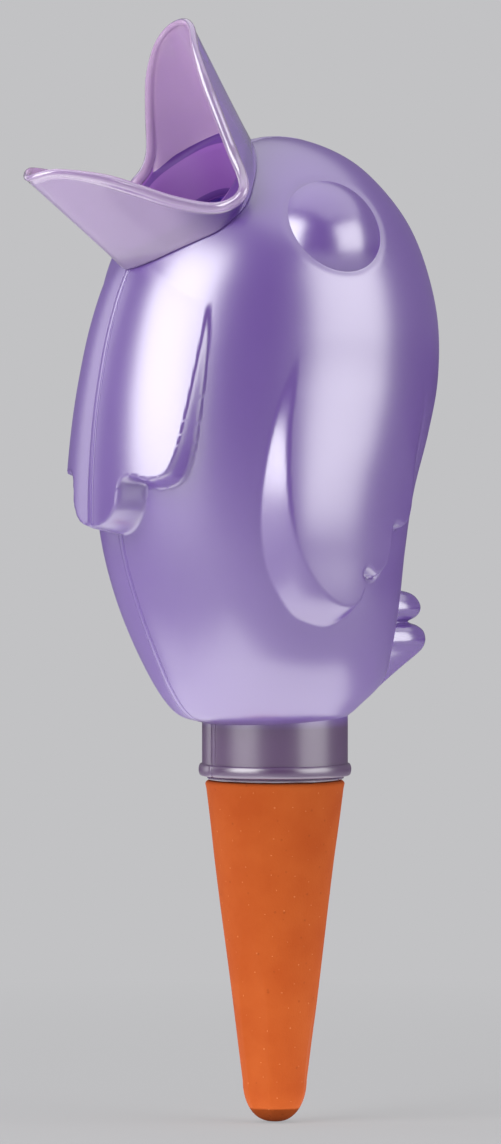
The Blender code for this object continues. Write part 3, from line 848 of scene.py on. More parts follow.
@dataclass
class BirdBody:
    """The moulded bird: two halves with the tuft, the wings, the seam groove and the neck.

    Rows are given by height, front, back and half width, and angles run round from the breast.
    """

    pearl: Material
    # Finish of the inner faces, which glows with painted light
    inside: Material
    neck_radius: float = 17.9
    neck_foot: float = 1.2
    neck_top: float = 15.2
    bead_proud: float = 0.85
    bead_height: float = 3.0
    bead_fullness: float = 0.7
    bead_setback: float = 0.4
    bead_steps: int = 15
    neck_margins: tuple = (0.5, 0.3)
    neck_row_step: float = 0.6
    wall: float = 1.8
    girth_radius: float = 40.0
    row_step: float = 0.55
    steps_per_span: int = 24
    # How much a change of height, front, back and half width counts in the steps between rows
    step_weights: tuple = (1.0, 0.6, 0.6, 0.6)
    column_step: float = 0.55
    seam_columns: tuple = (0.0, 0.25, 0.5, 0.75, 1.0, 1.3, 1.7, 2.2)
    seam_half_gap: float = 0.05
    groove_half_width: float = 0.7
    groove_depth: float = 0.25
    groove_crown: tuple = (1.0, 4.0)
    lip_offset: float = 0.95
    lip_radius: float = 0.12
    lip_breast_top: float = 127.0
    lip_crown_front: float = -9.0
    belly_tilt: float = 0.05
    tilt_below: float = 7.0
    tilt_above: float = 14.0
    hole_centre: tuple = (0.0, -25.0, 141.0)
    hole_tilt: float = 41.3
    hole_radius: float = 18.35
    hole_steps: int = 96
    inner_stride: int = 10
    crown_rows: int = 6
    # Height above the neck, front, back and half width
    sections: tuple = (
        (2.3, -24.6, 20.6, 21.6), (8.4, -30.1, 26.4, 26.6), (16.8, -34.5, 28.2, 31.2),
        (28.8, -39.6, 29.9, 34.4), (41.8, -43.7, 31.6, 35.6), (55.8, -45.9, 34.1, 36.6),
        (69.8, -46.9, 38.3, 37.5), (82.8, -46.8, 41.1, 38.0), (96.8, -45.5, 41.1, 38.0),
        (109.8, -42.5, 38.0, 36.6), (120.8, -37.2, 33.3, 32.9), (129.8, -30.0, 26.7, 26.7),
        (136.8, -19.9, 19.0, 18.3), (141.3, -9.0, 9.3, 8.9), (142.8, -0.3, -0.3, 0.0),
    )
    eye_centre: tuple = (21.4, -1.6, 132.3)
    eye_radius: float = 15.9
    eye_crease_depth: float = 0.35
    eye_crease_width: float = 0.8
    tuft: BreastTuft = field(default_factory=BreastTuft)
    wing: FoldedWing = field(default_factory=FoldedWing)

    def body_rows(self) -> Array:
        """Rows of the body above the neck, at even steps up its side.

        Returns:
            Height, front, back and half width of each row.
        """
        neck = (0.0, -self.neck_radius, self.neck_radius, self.neck_radius)
        known = np.array((neck,) + self.sections)
        height, front, back, half_width = known[-2]
        past_crown = (height, back, front, -half_width)
        fine = catmull(np.vstack([2.0 * known[0] - known[1], known, past_crown]), self.steps_per_span)
        fine[:, 0] += self.neck_top
        steps = np.linalg.norm(np.diff(fine, axis=0) * self.step_weights, axis=1)
        length = np.concatenate([[0.0], np.cumsum(steps)])
        even = np.linspace(0.0, length[-1], int(length[-1] / self.row_step) + 1)
        return np.stack([np.interp(even, length, fine[:, k]) for k in range(4)], axis=1)

    def rows(self) -> Array:
        """All rows: the round bead at the neck's foot, the neck and the body.

        Returns:
            Height, front, back and half width of each row.
        """
        half = 0.5 * self.bead_height
        profile = [(self.neck_radius - self.bead_setback, self.neck_foot)]
        for turn in np.linspace(-0.5 * math.pi, 0.5 * math.pi, self.bead_steps):
            bulge = self.bead_proud * math.cos(turn) ** self.bead_fullness
            profile.append((self.neck_radius + bulge, self.neck_foot + half * (1.0 + math.sin(turn))))
        low = self.neck_foot + self.bead_height + self.neck_margins[0]
        for height in np.arange(low, self.neck_top - self.neck_margins[1], self.neck_row_step):
            profile.append((self.neck_radius, height))
        neck = [(height, -radius, radius, radius) for radius, height in profile]
        return np.vstack([neck, self.body_rows()])

    def skin(self, rows: Array, angles: Array) -> tuple[Array, Array]:
        """Points and outward directions of the plain skin.

        Args:
            rows: Rows of the skin.
            angles: Angles of its columns.

        Returns:
            Points and unit normals, row by column by three.
        """
        height, front, back, half_width = (rows[:, k, None] for k in range(4))
        middle, depth, level = 0.5 * (front + back), 0.5 * (back - front), 0.0 * angles
        points = np.stack([
            half_width * np.sin(angles), middle - depth * np.cos(angles), height + level,
        ], axis=-1)
        around = np.stack([
            half_width * np.cos(angles), depth * np.sin(angles), 0.0 * height + level,
        ], axis=-1)
        return points, unit(np.cross(around, np.gradient(points, axis=0)))

    def surface(self, angles: Array, groove: bool) -> Array:
        """Points of the bird's outside from the neck's foot to the crown.

        Args:
            angles: Angles of its columns.
            groove: Whether the seam groove is cut.

        Returns:
            Points, row by column by three.
        """
        rows = self.rows()
        points, normals = self.skin(rows, angles)
        around = np.broadcast_to(angles * self.girth_radius, points.shape[:2])
        height = points[..., 2]
        lift = self.tuft.lift(around, height) + self.wing.lift(around, height)
        from_eye = np.linalg.norm(points - np.array(self.eye_centre), axis=-1) - self.eye_radius
        lift = lift - self.eye_crease_depth * np.exp(-(from_eye / self.eye_crease_width) ** 2)
        if groove:
            across = np.abs(points[..., 0]) / self.groove_half_width
            crown = soft_step(rows[:, 3], *self.groove_crown)[:, None]
            lift = lift - self.groove_depth * np.clip(1.0 - across, 0.0, 1.0) * crown
        points = points + normals * lift[..., None]
        near_neck = soft_step(height, self.neck_top - self.tilt_below, self.neck_top)
        near_neck = near_neck - soft_step(height, self.neck_top, self.neck_top + self.tilt_above)
        points[..., 2] += self.belly_tilt * points[..., 1] * near_neck
        return points

    def column_angles(self) -> Array:
        """Angles of one half's columns, close together at both ends of the seam.

        Returns:
            Angles from the breast to the back.
        """
        edge = np.array(self.seam_columns)
        length = math.pi * self.girth_radius
        count = int((length - 2.0 * edge[-1]) / self.column_step)
        middle = np.linspace(edge[-1], length - edge[-1], count)[1:-1]
        return np.concatenate([edge, middle, length - edge[::-1]]) / self.girth_radius

    def half_mesh(self, side: Side) -> tuple[Array, list, int]:
        """Closed half shell: fine outside, coarse inside and the edges between them.

        Args:
            side: Which half.

        Returns:
            Points, faces, and how many of the faces are outside.
        """
        angles = self.column_angles()
        outer = self.surface(angles, groove=True)
        rows, columns = outer.shape[:2]
        last_row, last_column = rows - self.crown_rows, columns - 1
        row_pick = [*range(0, last_row, self.inner_stride), last_row]
        column_pick = [*range(0, last_column, self.inner_stride), last_column]
        plain, normals = self.skin(self.rows(), angles)
        inner = (plain - self.wall * normals)[np.ix_(row_pick, column_pick)]
        inner[0, :, 2] = self.neck_foot
        points = np.concatenate([outer.reshape(-1, 3), inner.reshape(-1, 3)])
        points[:, 0] = side.value * np.maximum(points[:, 0], self.seam_half_gap)
        faces = grid_faces(rows, columns, closed=False)
        outside, base = len(faces), rows * columns
        for quad in grid_faces(len(row_pick), len(column_pick), closed=False):
            faces.append(tuple(base + index for index in reversed(quad)))
        return points, faces + self.edge_faces(rows, columns, row_pick, column_pick), outside

    def edge_faces(self, rows: int, columns: int, row_pick: list[int], column_pick: list[int]) -> list:
        """Faces between a half's outside and its inside: both seam edges, the foot and the crown.

        Args:
            rows: Number of rows outside.
            columns: Number of columns outside.
            row_pick: Rows that the inside has too.
            column_pick: Columns that the inside has too.

        Returns:
            Index tuples.
        """
        base, inner = rows * columns, len(column_pick)
        faces = []
        for column, inner_column in ((0, 0), (columns - 1, inner - 1)):
            for step, (low, high) in enumerate(zip(row_pick, row_pick[1:])):
                strip = [row * columns + column for row in range(low, high + 1)]
                faces.append((*strip, *(base + (step + k) * inner + inner_column for k in (1, 0))))
        for step, (low, high) in enumerate(zip(column_pick, column_pick[1:])):
            faces.append((*range(low, high + 1), base + step + 1, base + step))
        crown = range(row_pick[-1], rows)
        front = [row * columns for row in crown]
        back = [row * columns + columns - 1 for row in reversed(crown)]
        top = base + (len(row_pick) - 1) * inner
        faces.append((*front, *back[1:], *range(top + inner - 1, top - 1, -1)))
        return faces

    def beak_hole(self) -> Thing:
        """Round bar that opens the head for the beak's plug.

        Returns:
            The cutter.
        """
        form, radius = bmesh.new(), self.hole_radius * MM
        bmesh.ops.create_cone(form, cap_ends=True, segments=self.hole_steps, radius1=radius,
                              radius2=radius, depth=3.0 * radius)
        tilt = Matrix.Rotation(math.radians(self.hole_tilt), 4, "X")
        place = Matrix.Translation(Vector(self.hole_centre) * MM) @ tilt
        bmesh.ops.transform(form, matrix=place, verts=form.verts)
        mesh = bpy.data.meshes.new("beak_hole")
        form.to_mesh(mesh)
        form.free()
        return add_object("beak_hole", mesh)

    def build_half(self, side: Side, cutter: Thing) -> Thing:
        """Build one half shell with the beak's hole cut.

        Args:
            side: Which half.
            cutter: Bar that opens the head.

        Returns:
            The half shell.
        """
        points, faces, outside = self.half_mesh(side)
        zones = [int(number >= outside) for number in range(len(faces))]
        name = f"bird_{side.name.lower()}_half"
        shell = mesh_object(name, points, faces, (self.pearl, self.inside), zones)
        step = shell.modifiers.new("hole", "BOOLEAN")
        step.operation = "DIFFERENCE"
        step.solver = "EXACT"
        step.object = cutter
        apply_modifiers(shell)
        shell.data.set_sharp_from_angle(angle=math.radians(SHARP_DEGREES))
        return shell

    def lip_paths(self, side: Side) -> list[Array]:
        """Lines along one side of the seam that the beak leaves bare.

        Args:
            side: Which half.

        Returns:
            The breast line and the line over the crown and down the back, in metres.
        """
        rows = self.rows()
        wide = rows[:, 3] > 2.0 * self.lip_offset
        turn = np.arcsin(np.minimum(self.lip_offset / np.maximum(rows[:, 3], TINY), 1.0))[:, None]
        points = self.surface(np.hstack([turn, math.pi - turn]), groove=False) * (side.value * MM, MM, MM)
        breast, back = points[:, 0], points[:, 1]
        height = rows[:, 0]
        above_bead = height > self.neck_foot + self.bead_height
        breast_line = breast[above_bead & (height < self.lip_breast_top)]
        behind_beak = breast[:, 1] > self.lip_crown_front * MM
        crown = breast[wide & behind_beak & (height > self.lip_breast_top)]
        return [breast_line, np.vstack([crown, back[wide & above_bead][::-1]])]

    def build_lips(self, side: Side) -> Thing:
        """Build the fine lip that the mould left beside the seam.

        Args:
            side: Which half.

        Returns:
            The lip.
        """
        points, edges = [], []
        for path in self.lip_paths(side):
            edges += [(len(points) + k, len(points) + k + 1) for k in range(len(path) - 1)]
            points += path.tolist()
        mesh = bpy.data.meshes.new(f"seam_lip_{side.name.lower()}")
        mesh.from_pydata(points, edges, [])
        lip = add_object(mesh.name, mesh)
        run_nodes(lip, lip_tree(self.pearl), {"Radius": self.lip_radius * MM, "Spacing": self.row_step * MM})
        return lip

    def build(self) -> None:
        """Build both halves and the lips of their seam in place of the CAD shells."""
        cutter = self.beak_hole()
        for side in Side:
            node = f"{side.name.lower()}_shell"
            settle(self.build_half(side, cutter), Body.BIRD, (node,))
            settle(self.build_lips(side), Body.BIRD)
        bpy.data.objects.remove(cutter)


@dataclass
class EyeDomes:
    """Polished domes of the eyes: low caps of a ball, let into the head."""

    polished: Material
    centre: tuple = BirdBody.eye_centre
    outward: tuple = (0.947, -0.03, 0.32)
    radius: float = BirdBody.eye_radius
    reach_degrees: float = 60.0
    rings: int = 40
    steps: int = 96

    def cap(self) -> tuple[Array, list]:
        """Closed cap of a ball of radius 1 round +Z.

        Returns:
            Points, ring by ring from the top with the top last, and faces.
        """
        polar = np.radians(np.linspace(0.0, self.reach_degrees, self.rings + 1))[1:]
        radius = np.repeat(np.sin(polar)[:, None], self.steps, axis=1)
        rings = turned(radius, np.cos(polar), full_turn(self.steps)).reshape(-1, 3)
        top = len(rings)
        faces = grid_faces(self.rings, self.steps, closed=True)
        faces += [(top, k, (k + 1) % self.steps) for k in range(self.steps)]
        faces.append(tuple(range(top - 1, top - 1 - self.steps, -1)))
        return np.vstack([rings, [(0.0, 0.0, 1.0)]]), faces

    def build(self) -> None:
        """Build one dome on each side of the head."""
        points, faces = self.cap()
        for side in Side:
            mirror = np.array((side.value, 1.0, 1.0))
            turn = np.array(Vector(self.outward * mirror).to_track_quat("Z", "Y").to_matrix())
            placed = points * self.radius @ turn.T + self.centre * mirror
            dome = mesh_object(f"eye_dome_{side.name.lower()}", placed, faces, (self.polished,))
            settle(dome, Body.BIRD)


@dataclass
class TailTiers:
    """Polished tail stub: two round tiers on a wedge that runs down into the belly."""

    polished: Material
    root: float = 20.0
    squareness: float = 3.2
    rows_per_span: int = 5
    steps: int = 72
    # Height, reach behind the axis and half width, from the top down
    tiers: tuple = (
        (46.0, 31.0, 4.2), (45.7, 35.2, 5.9), (44.7, 38.3, 7.4), (42.7, 40.0, 8.5), (40.8, 40.2, 8.6),
        (39.2, 39.2, 7.6), (38.2, 37.4, 6.2), (37.7, 37.8, 6.4), (37.0, 39.6, 7.7), (35.6, 41.2, 8.7),
        (33.4, 41.6, 9.1), (31.4, 40.9, 8.4), (29.6, 39.0, 7.3), (27.0, 35.4, 6.2), (23.5, 30.6, 5.2),
        (20.0, 26.0, 4.4), (18.0, 23.0, 3.8),
    )

    def build(self) -> None:
        """Build the tail on the bird's back."""
        rows = smooth_path(self.tiers, self.rows_per_span)
        height, reach, half_width = (rows[:, k, None] for k in range(3))
        angles = full_turn(self.steps)
        across, along = (np.sign(wave) * np.abs(wave) ** (2.0 / self.squareness)
                         for wave in (np.cos(angles), np.sin(angles)))
        points = np.stack([
            half_width * across, self.root + (reach - self.root) * along, height + 0.0 * across,
        ], axis=-1)
        tail = mesh_object("tail_tiers", points, capped_tube(len(points), self.steps), (self.polished,))
        settle(tail, Body.BIRD)


# Beak funnel


@dataclass
class BeakFunnel:
    """Clear beak: two jaws with a round rim, a funnel floor, a throat and a plug.

    Places are given across, up and out of the ring round the hole in the head.
    """

    finishes: dict[Zone, Material]
    body: BirdBody
    ring_centre: tuple = BirdBody.hole_centre
    tilt: float = BirdBody.hole_tilt
    base_radius: float = 23.0
    roundness: float = 1.6
    rim_radius: float = 1.35
    tip_taper: float = 0.45
    taper_reach: tuple = (24.0, 34.0)
    rim_turns: tuple = (-50.0, -15.0, 20.0, 55.0, 90.0, 125.0, 160.0, 195.0, 230.0)
    wall: float = 1.6
    gap: float = 0.3
    plug_radius: float = 17.9
    plug_depth: float = 7.0
    throat_radius: float = 11.2
    throat_depth: float = 5.0
    floor_edge: float = 4.6
    floor_edge_share: float = 0.7
    floor_wall: float = 1.2
    seat_rounds: int = 8
    halvings: int = 36
    polished_turns: int = 5
    corner_reach: float = 7.0
    wall_shares: tuple = (0.2, 0.4, 0.6, 0.8)
    corner_round: float = 1.0
    corner_share: float = 0.4
    steps_per_jaw_side: int = 36
    sharp_degrees: float = 75.0
    # Rims from the mouth's corner to the tip
    upper_rim: tuple = (
        (25.2, 3.4, 3.7), (22.2, 6.9, 5.6), (19.0, 9.8, 9.6), (15.9, 14.0, 17.6), (12.3, 18.8, 26.2),
        (8.6, 23.4, 32.0), (5.0, 27.4, 34.4), (0.0, 29.2, 35.0),
    )
    lower_rim: tuple = (
        (25.2, 3.4, 3.7), (24.2, -0.6, 3.2), (20.6, -4.5, 5.1), (16.7, -9.7, 12.1), (13.5, -14.0, 19.8),
        (10.7, -19.0, 27.8), (6.0, -24.8, 34.6), (0.0, -28.9, 36.2),
    )

    def place(self, points: Array) -> Array:
        """Turn points across, up and out of the ring to the part's frame.

        Args:
            points: Points in the ring's own axes.

        Returns:
            Points in the part's frame.
        """
        turn = math.radians(self.tilt)
        axes = np.array([
            (1.0, 0.0, 0.0),
            (0.0, math.cos(turn), math.sin(turn)),
            (0.0, -math.sin(turn), math.cos(turn)),
        ])
        return points @ axes + np.array(self.ring_centre)

    def seat(self, spots: Array) -> Array:
        """How far out a seat with the fit's gap on the head's skin is.

        Args:
            spots: Places across and up the ring.

        Returns:
            Distances out, as a column.
        """
        rows = self.body.body_rows()
        low = np.full((len(spots), 1), -self.base_radius)
        high = -low
        for _ in range(self.halvings):
            out = 0.5 * (low + high)
            x, y, z = self.place(np.hstack([spots, out])).T
            front, back, half_width = (np.interp(z, rows[:, 0], rows[:, k]) for k in (1, 2, 3))
            depth = np.maximum(0.5 * (back - front), TINY)
            level = (x / np.maximum(half_width, TINY)) ** 2 + ((y - 0.5 * (front + back)) / depth) ** 2
            within = ((level < 1.0) & (z < rows[-1, 0]))[:, None]
            low, high = np.where(within, out, low), np.where(within, high, out)
        return out + self.gap

    def base_and_rim(self) -> tuple[Array, Array]:
        """Matching points of the base ring and of the rim, all the way round.

        Returns:
            Base points (across, up) and rim points (across, up, out).
        """
        count, power = self.steps_per_jaw_side, 2.0 / self.roundness
        bases, rims = [], []
        upper, lower = np.array(self.upper_rim), np.array(self.lower_rim)
        quarters = (
            (1, 1, upper, lower), (-1, 1, upper, lower), (-1, -1, lower, upper), (1, -1, lower, upper),
        )
        for number, (mirror, jaw, rim, other) in enumerate(quarters):
            past_tip = rim[-2] * (-1.0, 1.0, 1.0)
            path = catmull(np.vstack([other[1], rim, past_tip]), count)
            steps = np.arange(count) if number % 2 == 0 else np.arange(count, 0, -1)
            angles = 0.5 * math.pi * steps / count
            across, up = (self.base_radius * np.maximum(wave, 0.0) ** power
                          for wave in (np.cos(angles), np.sin(angles)))
            bases.append(np.stack([mirror * across, jaw * up], axis=1))
            rims.append(path[steps * (len(rim) - 1)] * (mirror, 1.0, 1.0))
        return np.vstack(bases), np.vstack(rims)

    def base_edge(self, base: Array, lean: Array) -> Array:
        """Where the jaws' outside comes down to the head's skin.

        Args:
            base: Points of the base ring.
            lean: How far the jaws lean across and up for each millimetre out.

        Returns:
            Points across, up and out.
        """
        spots = base
        for _ in range(self.seat_rounds):
            seat = self.seat(spots)
            spots = base + lean * seat
        return np.hstack([spots, seat])

    def bead(self, rim: Array, side: Array) -> list[Array]:
        """Points of the round rim.

        Args:
            rim: Middle of the rim.
            side: Unit directions from the plug's axis.

        Returns:
            One row of points for each turn, from the outside over the top to the inside.
        """
        run = unit(np.roll(rim, -1, axis=0) - np.roll(rim, 1, axis=0))
        outward = np.hstack([side, np.zeros((len(side), 1))])
        outward = unit(outward - run * np.sum(outward * run, axis=1, keepdims=True))
        upward = np.cross(outward, run)
        radius = self.rim_radius - self.tip_taper * soft_step(rim[:, 2:], *self.taper_reach)
        return [rim + radius * (math.cos(turn) * outward + math.sin(turn) * upward)
                for turn in np.radians(self.rim_turns)]

    def profiles(self) -> Array:
        """Closed wall sections round the funnel, with sharp corners.

        Returns:
            Column by point by three, in the ring's own axes.
        """
        base, rim = self.base_and_rim()
        reach = np.linalg.norm(base, axis=1, keepdims=True)
        side, rim_out = base / reach, rim[:, 2:]
        lean = (rim[:, :2] - base) / rim_out

        def at(radius: float, out: float | Array) -> Array:
            """Points at a radius and a distance out, one a column."""
            return np.hstack([side * radius, np.zeros_like(reach) + out])

        base_edge = self.base_edge(base, lean)
        plug_seat = self.seat(side * self.plug_radius)
        floor_out = np.minimum(self.floor_edge, self.floor_edge_share * rim_out)
        floor_edge = np.hstack([side * (reach - self.wall) + lean * floor_out, floor_out])
        bead = self.bead(rim, side)
        inner_radius = self.plug_radius - self.wall
        return np.stack([
            at(self.plug_radius, plug_seat),
            base_edge,
            *(base_edge + (bead[0] - base_edge) * share for share in self.wall_shares),
            *bead,
            *(bead[-1] + (floor_edge - bead[-1]) * share for share in self.wall_shares),
            floor_edge,
            at(self.plug_radius, plug_seat + self.floor_wall),
            at(self.throat_radius, -self.throat_depth),
            at(self.throat_radius, -self.throat_depth - self.wall),
            at(inner_radius, plug_seat - 2.0 * self.wall),
            at(inner_radius, -self.plug_depth),
            at(self.plug_radius, -self.plug_depth),
        ], axis=1)

    def rounded(self, profiles: Array) -> Array:
        """Round every corner of the wall sections.

        Args:
            profiles: Column by point by three.

        Returns:
            The same with three points for each corner.
        """
        cut = []
        for step in (1, -1):
            run = np.roll(profiles, step, axis=1) - profiles
            length = np.maximum(np.linalg.norm(run, axis=-1, keepdims=True), TINY)
            cut.append(profiles + run / length * np.minimum(self.corner_round, self.corner_share * length))
        middle = 0.25 * cut[0] + 0.5 * profiles + 0.25 * cut[1]
        return np.stack([cut[0], middle, cut[1]], axis=2).reshape(len(profiles), -1, 3)

    def zone(self, corner: int, fold: bool, upper: bool, low: bool) -> Zone:
        """Which surface lies at a corner of the wall section.

        Args:
            corner: Number of the corner, from the plug's seat over the rim to the plug's foot.
            fold: Whether it is the corner's own round, and not the flat that follows.
            upper: Whether it is on the upper jaw.
            low: Whether it is by a corner of the mouth, where the rim is low.

        Returns:
            The surface.
        """
        bead = 2 + len(self.wall_shares)
        inner_wall = bead + len(self.rim_turns)
        floor = inner_wall + len(self.wall_shares)
        if 1 <= corner < bead:
            return Zone.UPPER_JAW if upper else Zone.LOWER_JAW
        if bead <= corner < bead + self.polished_turns:
            return Zone.RIM
        if corner == floor or (corner == floor + 2 and fold):
            return Zone.FOLD
        return Zone.FLOOR if corner >= floor or (low and corner >= inner_wall) else Zone.INSIDE

    def build(self) -> None:
        """Build the funnel in place of the CAD's."""
        points = self.place(self.rounded(self.profiles()))
        low = self.base_and_rim()[1][:, 2] < self.corner_reach
        columns, count = points.shape[:2]
        faces, zones = [], []
        for column in range(columns):
            here, following = column * count, (column + 1) % columns * count
            for index in range(count):
                after = (index + 1) % count
                faces.append((here + index, here + after, following + after, following + index))
                zone = self.zone(index // 3, index % 3 < 2, column < columns // 2, bool(low[column]))
                zones.append(zone.value)
        finishes = tuple(self.finishes[zone] for zone in Zone)
        beak = mesh_object("beak_funnel_clear", points, faces, finishes, zones, self.sharp_degrees)
        settle(beak, Body.BEAK, ("beak_funnel",))


# Spike


@dataclass
class NeckSeal:
    """Silicone ring between the neck and the spigot, with a drop squeezed out of it."""

    silicone: Material
    inner: float = 13.9
    outer: float = 15.8
    foot: float = 0.3
    height: float = 9.0
    chamfer: float = 0.4
    flange_radius: float = 16.8
    flange: float = 0.6
    flange_round: float = 0.2
    steps: int = 128
    drop_reach: float = 0.9
    drop_width: float = 0.075
    # Waves of the flange's edge: height, waves a turn and shift
    waves: tuple = ((0.12, 7.0, 0.0), (0.08, 13.0, 1.0))

    def build(self) -> None:
        """Build the ring in place of the CAD's, with the drop towards +X."""
        top, low, cut = self.foot + self.height, self.foot + self.flange, self.chamfer
        edge = self.flange_radius - self.flange_round
        profile = np.array((
            (self.inner, self.foot), (self.inner, top - cut), (self.inner + cut, top),
            (self.outer - cut, top), (self.outer, top - cut), (self.outer, low),
            (edge, low), (self.flange_radius, 0.5 * (low + self.foot)), (edge, self.foot),
        ))
        angles = full_turn(self.steps)
        away = (angles + math.pi) % (2.0 * math.pi) - math.pi
        drop = self.drop_reach * np.exp(-(away / self.drop_width) ** 2)
        wavy = sum(high * np.sin(count * angles + shift) for high, count, shift in self.waves)
        radius = np.repeat(profile[:, 0, None], self.steps, axis=1)
        radius[-3:] += drop + wavy
        points = turned(radius, profile[:, 1], angles)
        faces = grid_faces(len(profile), self.steps, closed=True)
        last = (len(profile) - 1) * self.steps
        faces += [(last + k, last + (k + 1) % self.steps, (k + 1) % self.steps, k) for k in range(self.steps)]
        settle(mesh_object("neck_seal_ring", points, faces, (self.silicone,)),
               Body.SPIKE, ("neck_seal",))


@dataclass
class ClayCone:
    """Fired clay cone: a tapered foot with rubbed flats near the tip, a spigot and a hollow."""

    clay: Material
    grit: Material
    shoulder_radius: float = 17.1
    edge_round: float = 0.9
    edge_steps: int = 6
    tip_radius: float = 7.9
    taper: float = 74.0
    taper_start: float = 2.0
    taper_step: float = 0.8
    tip: float = 10.0
    tip_fullness: float = 0.8
    tip_steps: int = 22
    tip_end: float = 0.02
    wall: float = 4.2
    floor: float = 8.0
    floor_turn: float = 0.01
    floor_steps: int = 6
    straight: float = 29.6
    spigot_radius: float = 13.6
    spigot_height: float = 12.0
    spigot_chamfer: float = 1.0
    steps: int = 180
    wobble: float = 0.12
    wobble_start: tuple = (2.0, 20.0)
    # Swells of the wobble: share, swells a turn, twist by depth and shift
    swells: tuple = ((1.0, 3.0, 0.05, 0.0), (0.6, 5.0, -0.11, 2.0))
    # Flats: direction round the axis, share of the radius that stays, and depths of none and all
    flats: tuple = ((-66.0, 0.915, 34.0, 60.0), (52.0, 0.955, 50.0, 66.0), (165.0, 0.94, 44.0, 62.0))
    flat_reach: float = 0.2
    grain_spacing: float = 3.4
    grain_radius: float = 0.17
    seed: int = 7
    sharp_degrees: float = 60.0

    def inner_profile(self) -> list[tuple[float, float]]:
        """Radius and height from the hollow's floor over the spigot to the shoulder.

        Returns:
            The rows.
        """
        floor = self.floor - self.taper - self.tip
        hollow, low = self.spigot_radius - self.wall, self.tip_radius - self.wall
        top, cut = self.spigot_height, self.spigot_chamfer
        turns = np.linspace(self.floor_turn, 0.5 * math.pi, self.floor_steps)
        return [(low * math.sin(t), floor + low * (1.0 - math.cos(t))) for t in turns] + [
            (hollow, -self.straight), (hollow, top), (self.spigot_radius - cut, top),
            (self.spigot_radius, top - cut), (self.spigot_radius, 0.0),
        ]

    def outer_profile(self) -> list[tuple[float, float]]:
        """Radius and height from the shoulder's edge to the tip.

        Returns:
            The rows.
        """
        quarter, rows = 0.5 * math.pi, []
        for t in np.linspace(0.0, quarter, self.edge_steps):
            radius = self.shoulder_radius - self.edge_round * (1.0 - math.sin(t))
            rows.append((radius, -self.edge_round * (1.0 - math.cos(t))))
        for depth in np.arange(self.taper_start, self.taper, self.taper_step):
            lost = (self.tip_radius - self.shoulder_radius) * (depth / self.taper)
            rows.append((self.shoulder_radius + lost, -depth))
        for t in np.linspace(0.0, quarter, self.tip_steps)[:-1]:
            radius = self.tip_radius * math.cos(t) ** self.tip_fullness
            rows.append((radius, -self.taper - self.tip * math.sin(t)))
        return rows + [(self.tip_end, -self.taper - self.tip)]

    def points(self) -> tuple[Array, int]:
        """Points of the cone, with its flats and its slight wobble.

        Returns:
            Points, row by column by three, and the row at which the outside begins.
        """
        inner = self.inner_profile()
        profile, start = np.array(inner + self.outer_profile()), len(inner)
        angles = full_turn(self.steps)
        radius = np.repeat(profile[:, 0, None], self.steps, axis=1)
        depth = -profile[:, 1, None]
        for direction, share, none, full in self.flats:
            away = np.cos(angles - math.radians(direction))
            keep = 1.0 - (1.0 - share) * soft_step(depth, none, full)
            flat = radius * keep / np.maximum(away, self.flat_reach)
            cut = np.where(away > self.flat_reach, np.minimum(radius, flat), radius)
            radius[start:] = cut[start:]
        swell = sum(share * np.sin(count * angles + twist * depth + shift)
                    for share, count, twist, shift in self.swells)
        fade = soft_step(depth, *self.wobble_start)
        fade = fade * soft_step(-depth, -self.taper - self.tip, -self.taper)
        return turned(radius + self.wobble * swell * fade, profile[:, 1], angles), start

    def build(self) -> None:
        """Build the cone in place of the CAD's, and the grains in its skin."""
        points, start = self.points()
        cone = mesh_object("clay_cone", points, capped_tube(len(points), self.steps), (self.clay,),
                           sharp_degrees=self.sharp_degrees)
        settle(cone, Body.SPIKE, ("terracotta_cone",))
        side = points[start + self.edge_steps:-1]
        skin = mesh_object("clay_grains", side, grid_faces(len(side), self.steps, closed=True), (self.grit,))
        run_nodes(skin, grain_tree(self.grit), {
            "Spacing": self.grain_spacing * MM, "Radius": self.grain_radius * MM, "Seed": self.seed,
        })
        settle(skin, Body.SPIKE)


# Studio


@dataclass(frozen=True)
class Softbox:
    """Soft box that the camera doesn't see.

    Its place is in metres from the bird to the camera's right, up and towards the camera, its
    size is width and height in metres, and its power is in watts.
    """

    name: str
    place: tuple[float, float, float]
    size: tuple[float, float]
    power: float
    aim_up: bool = False


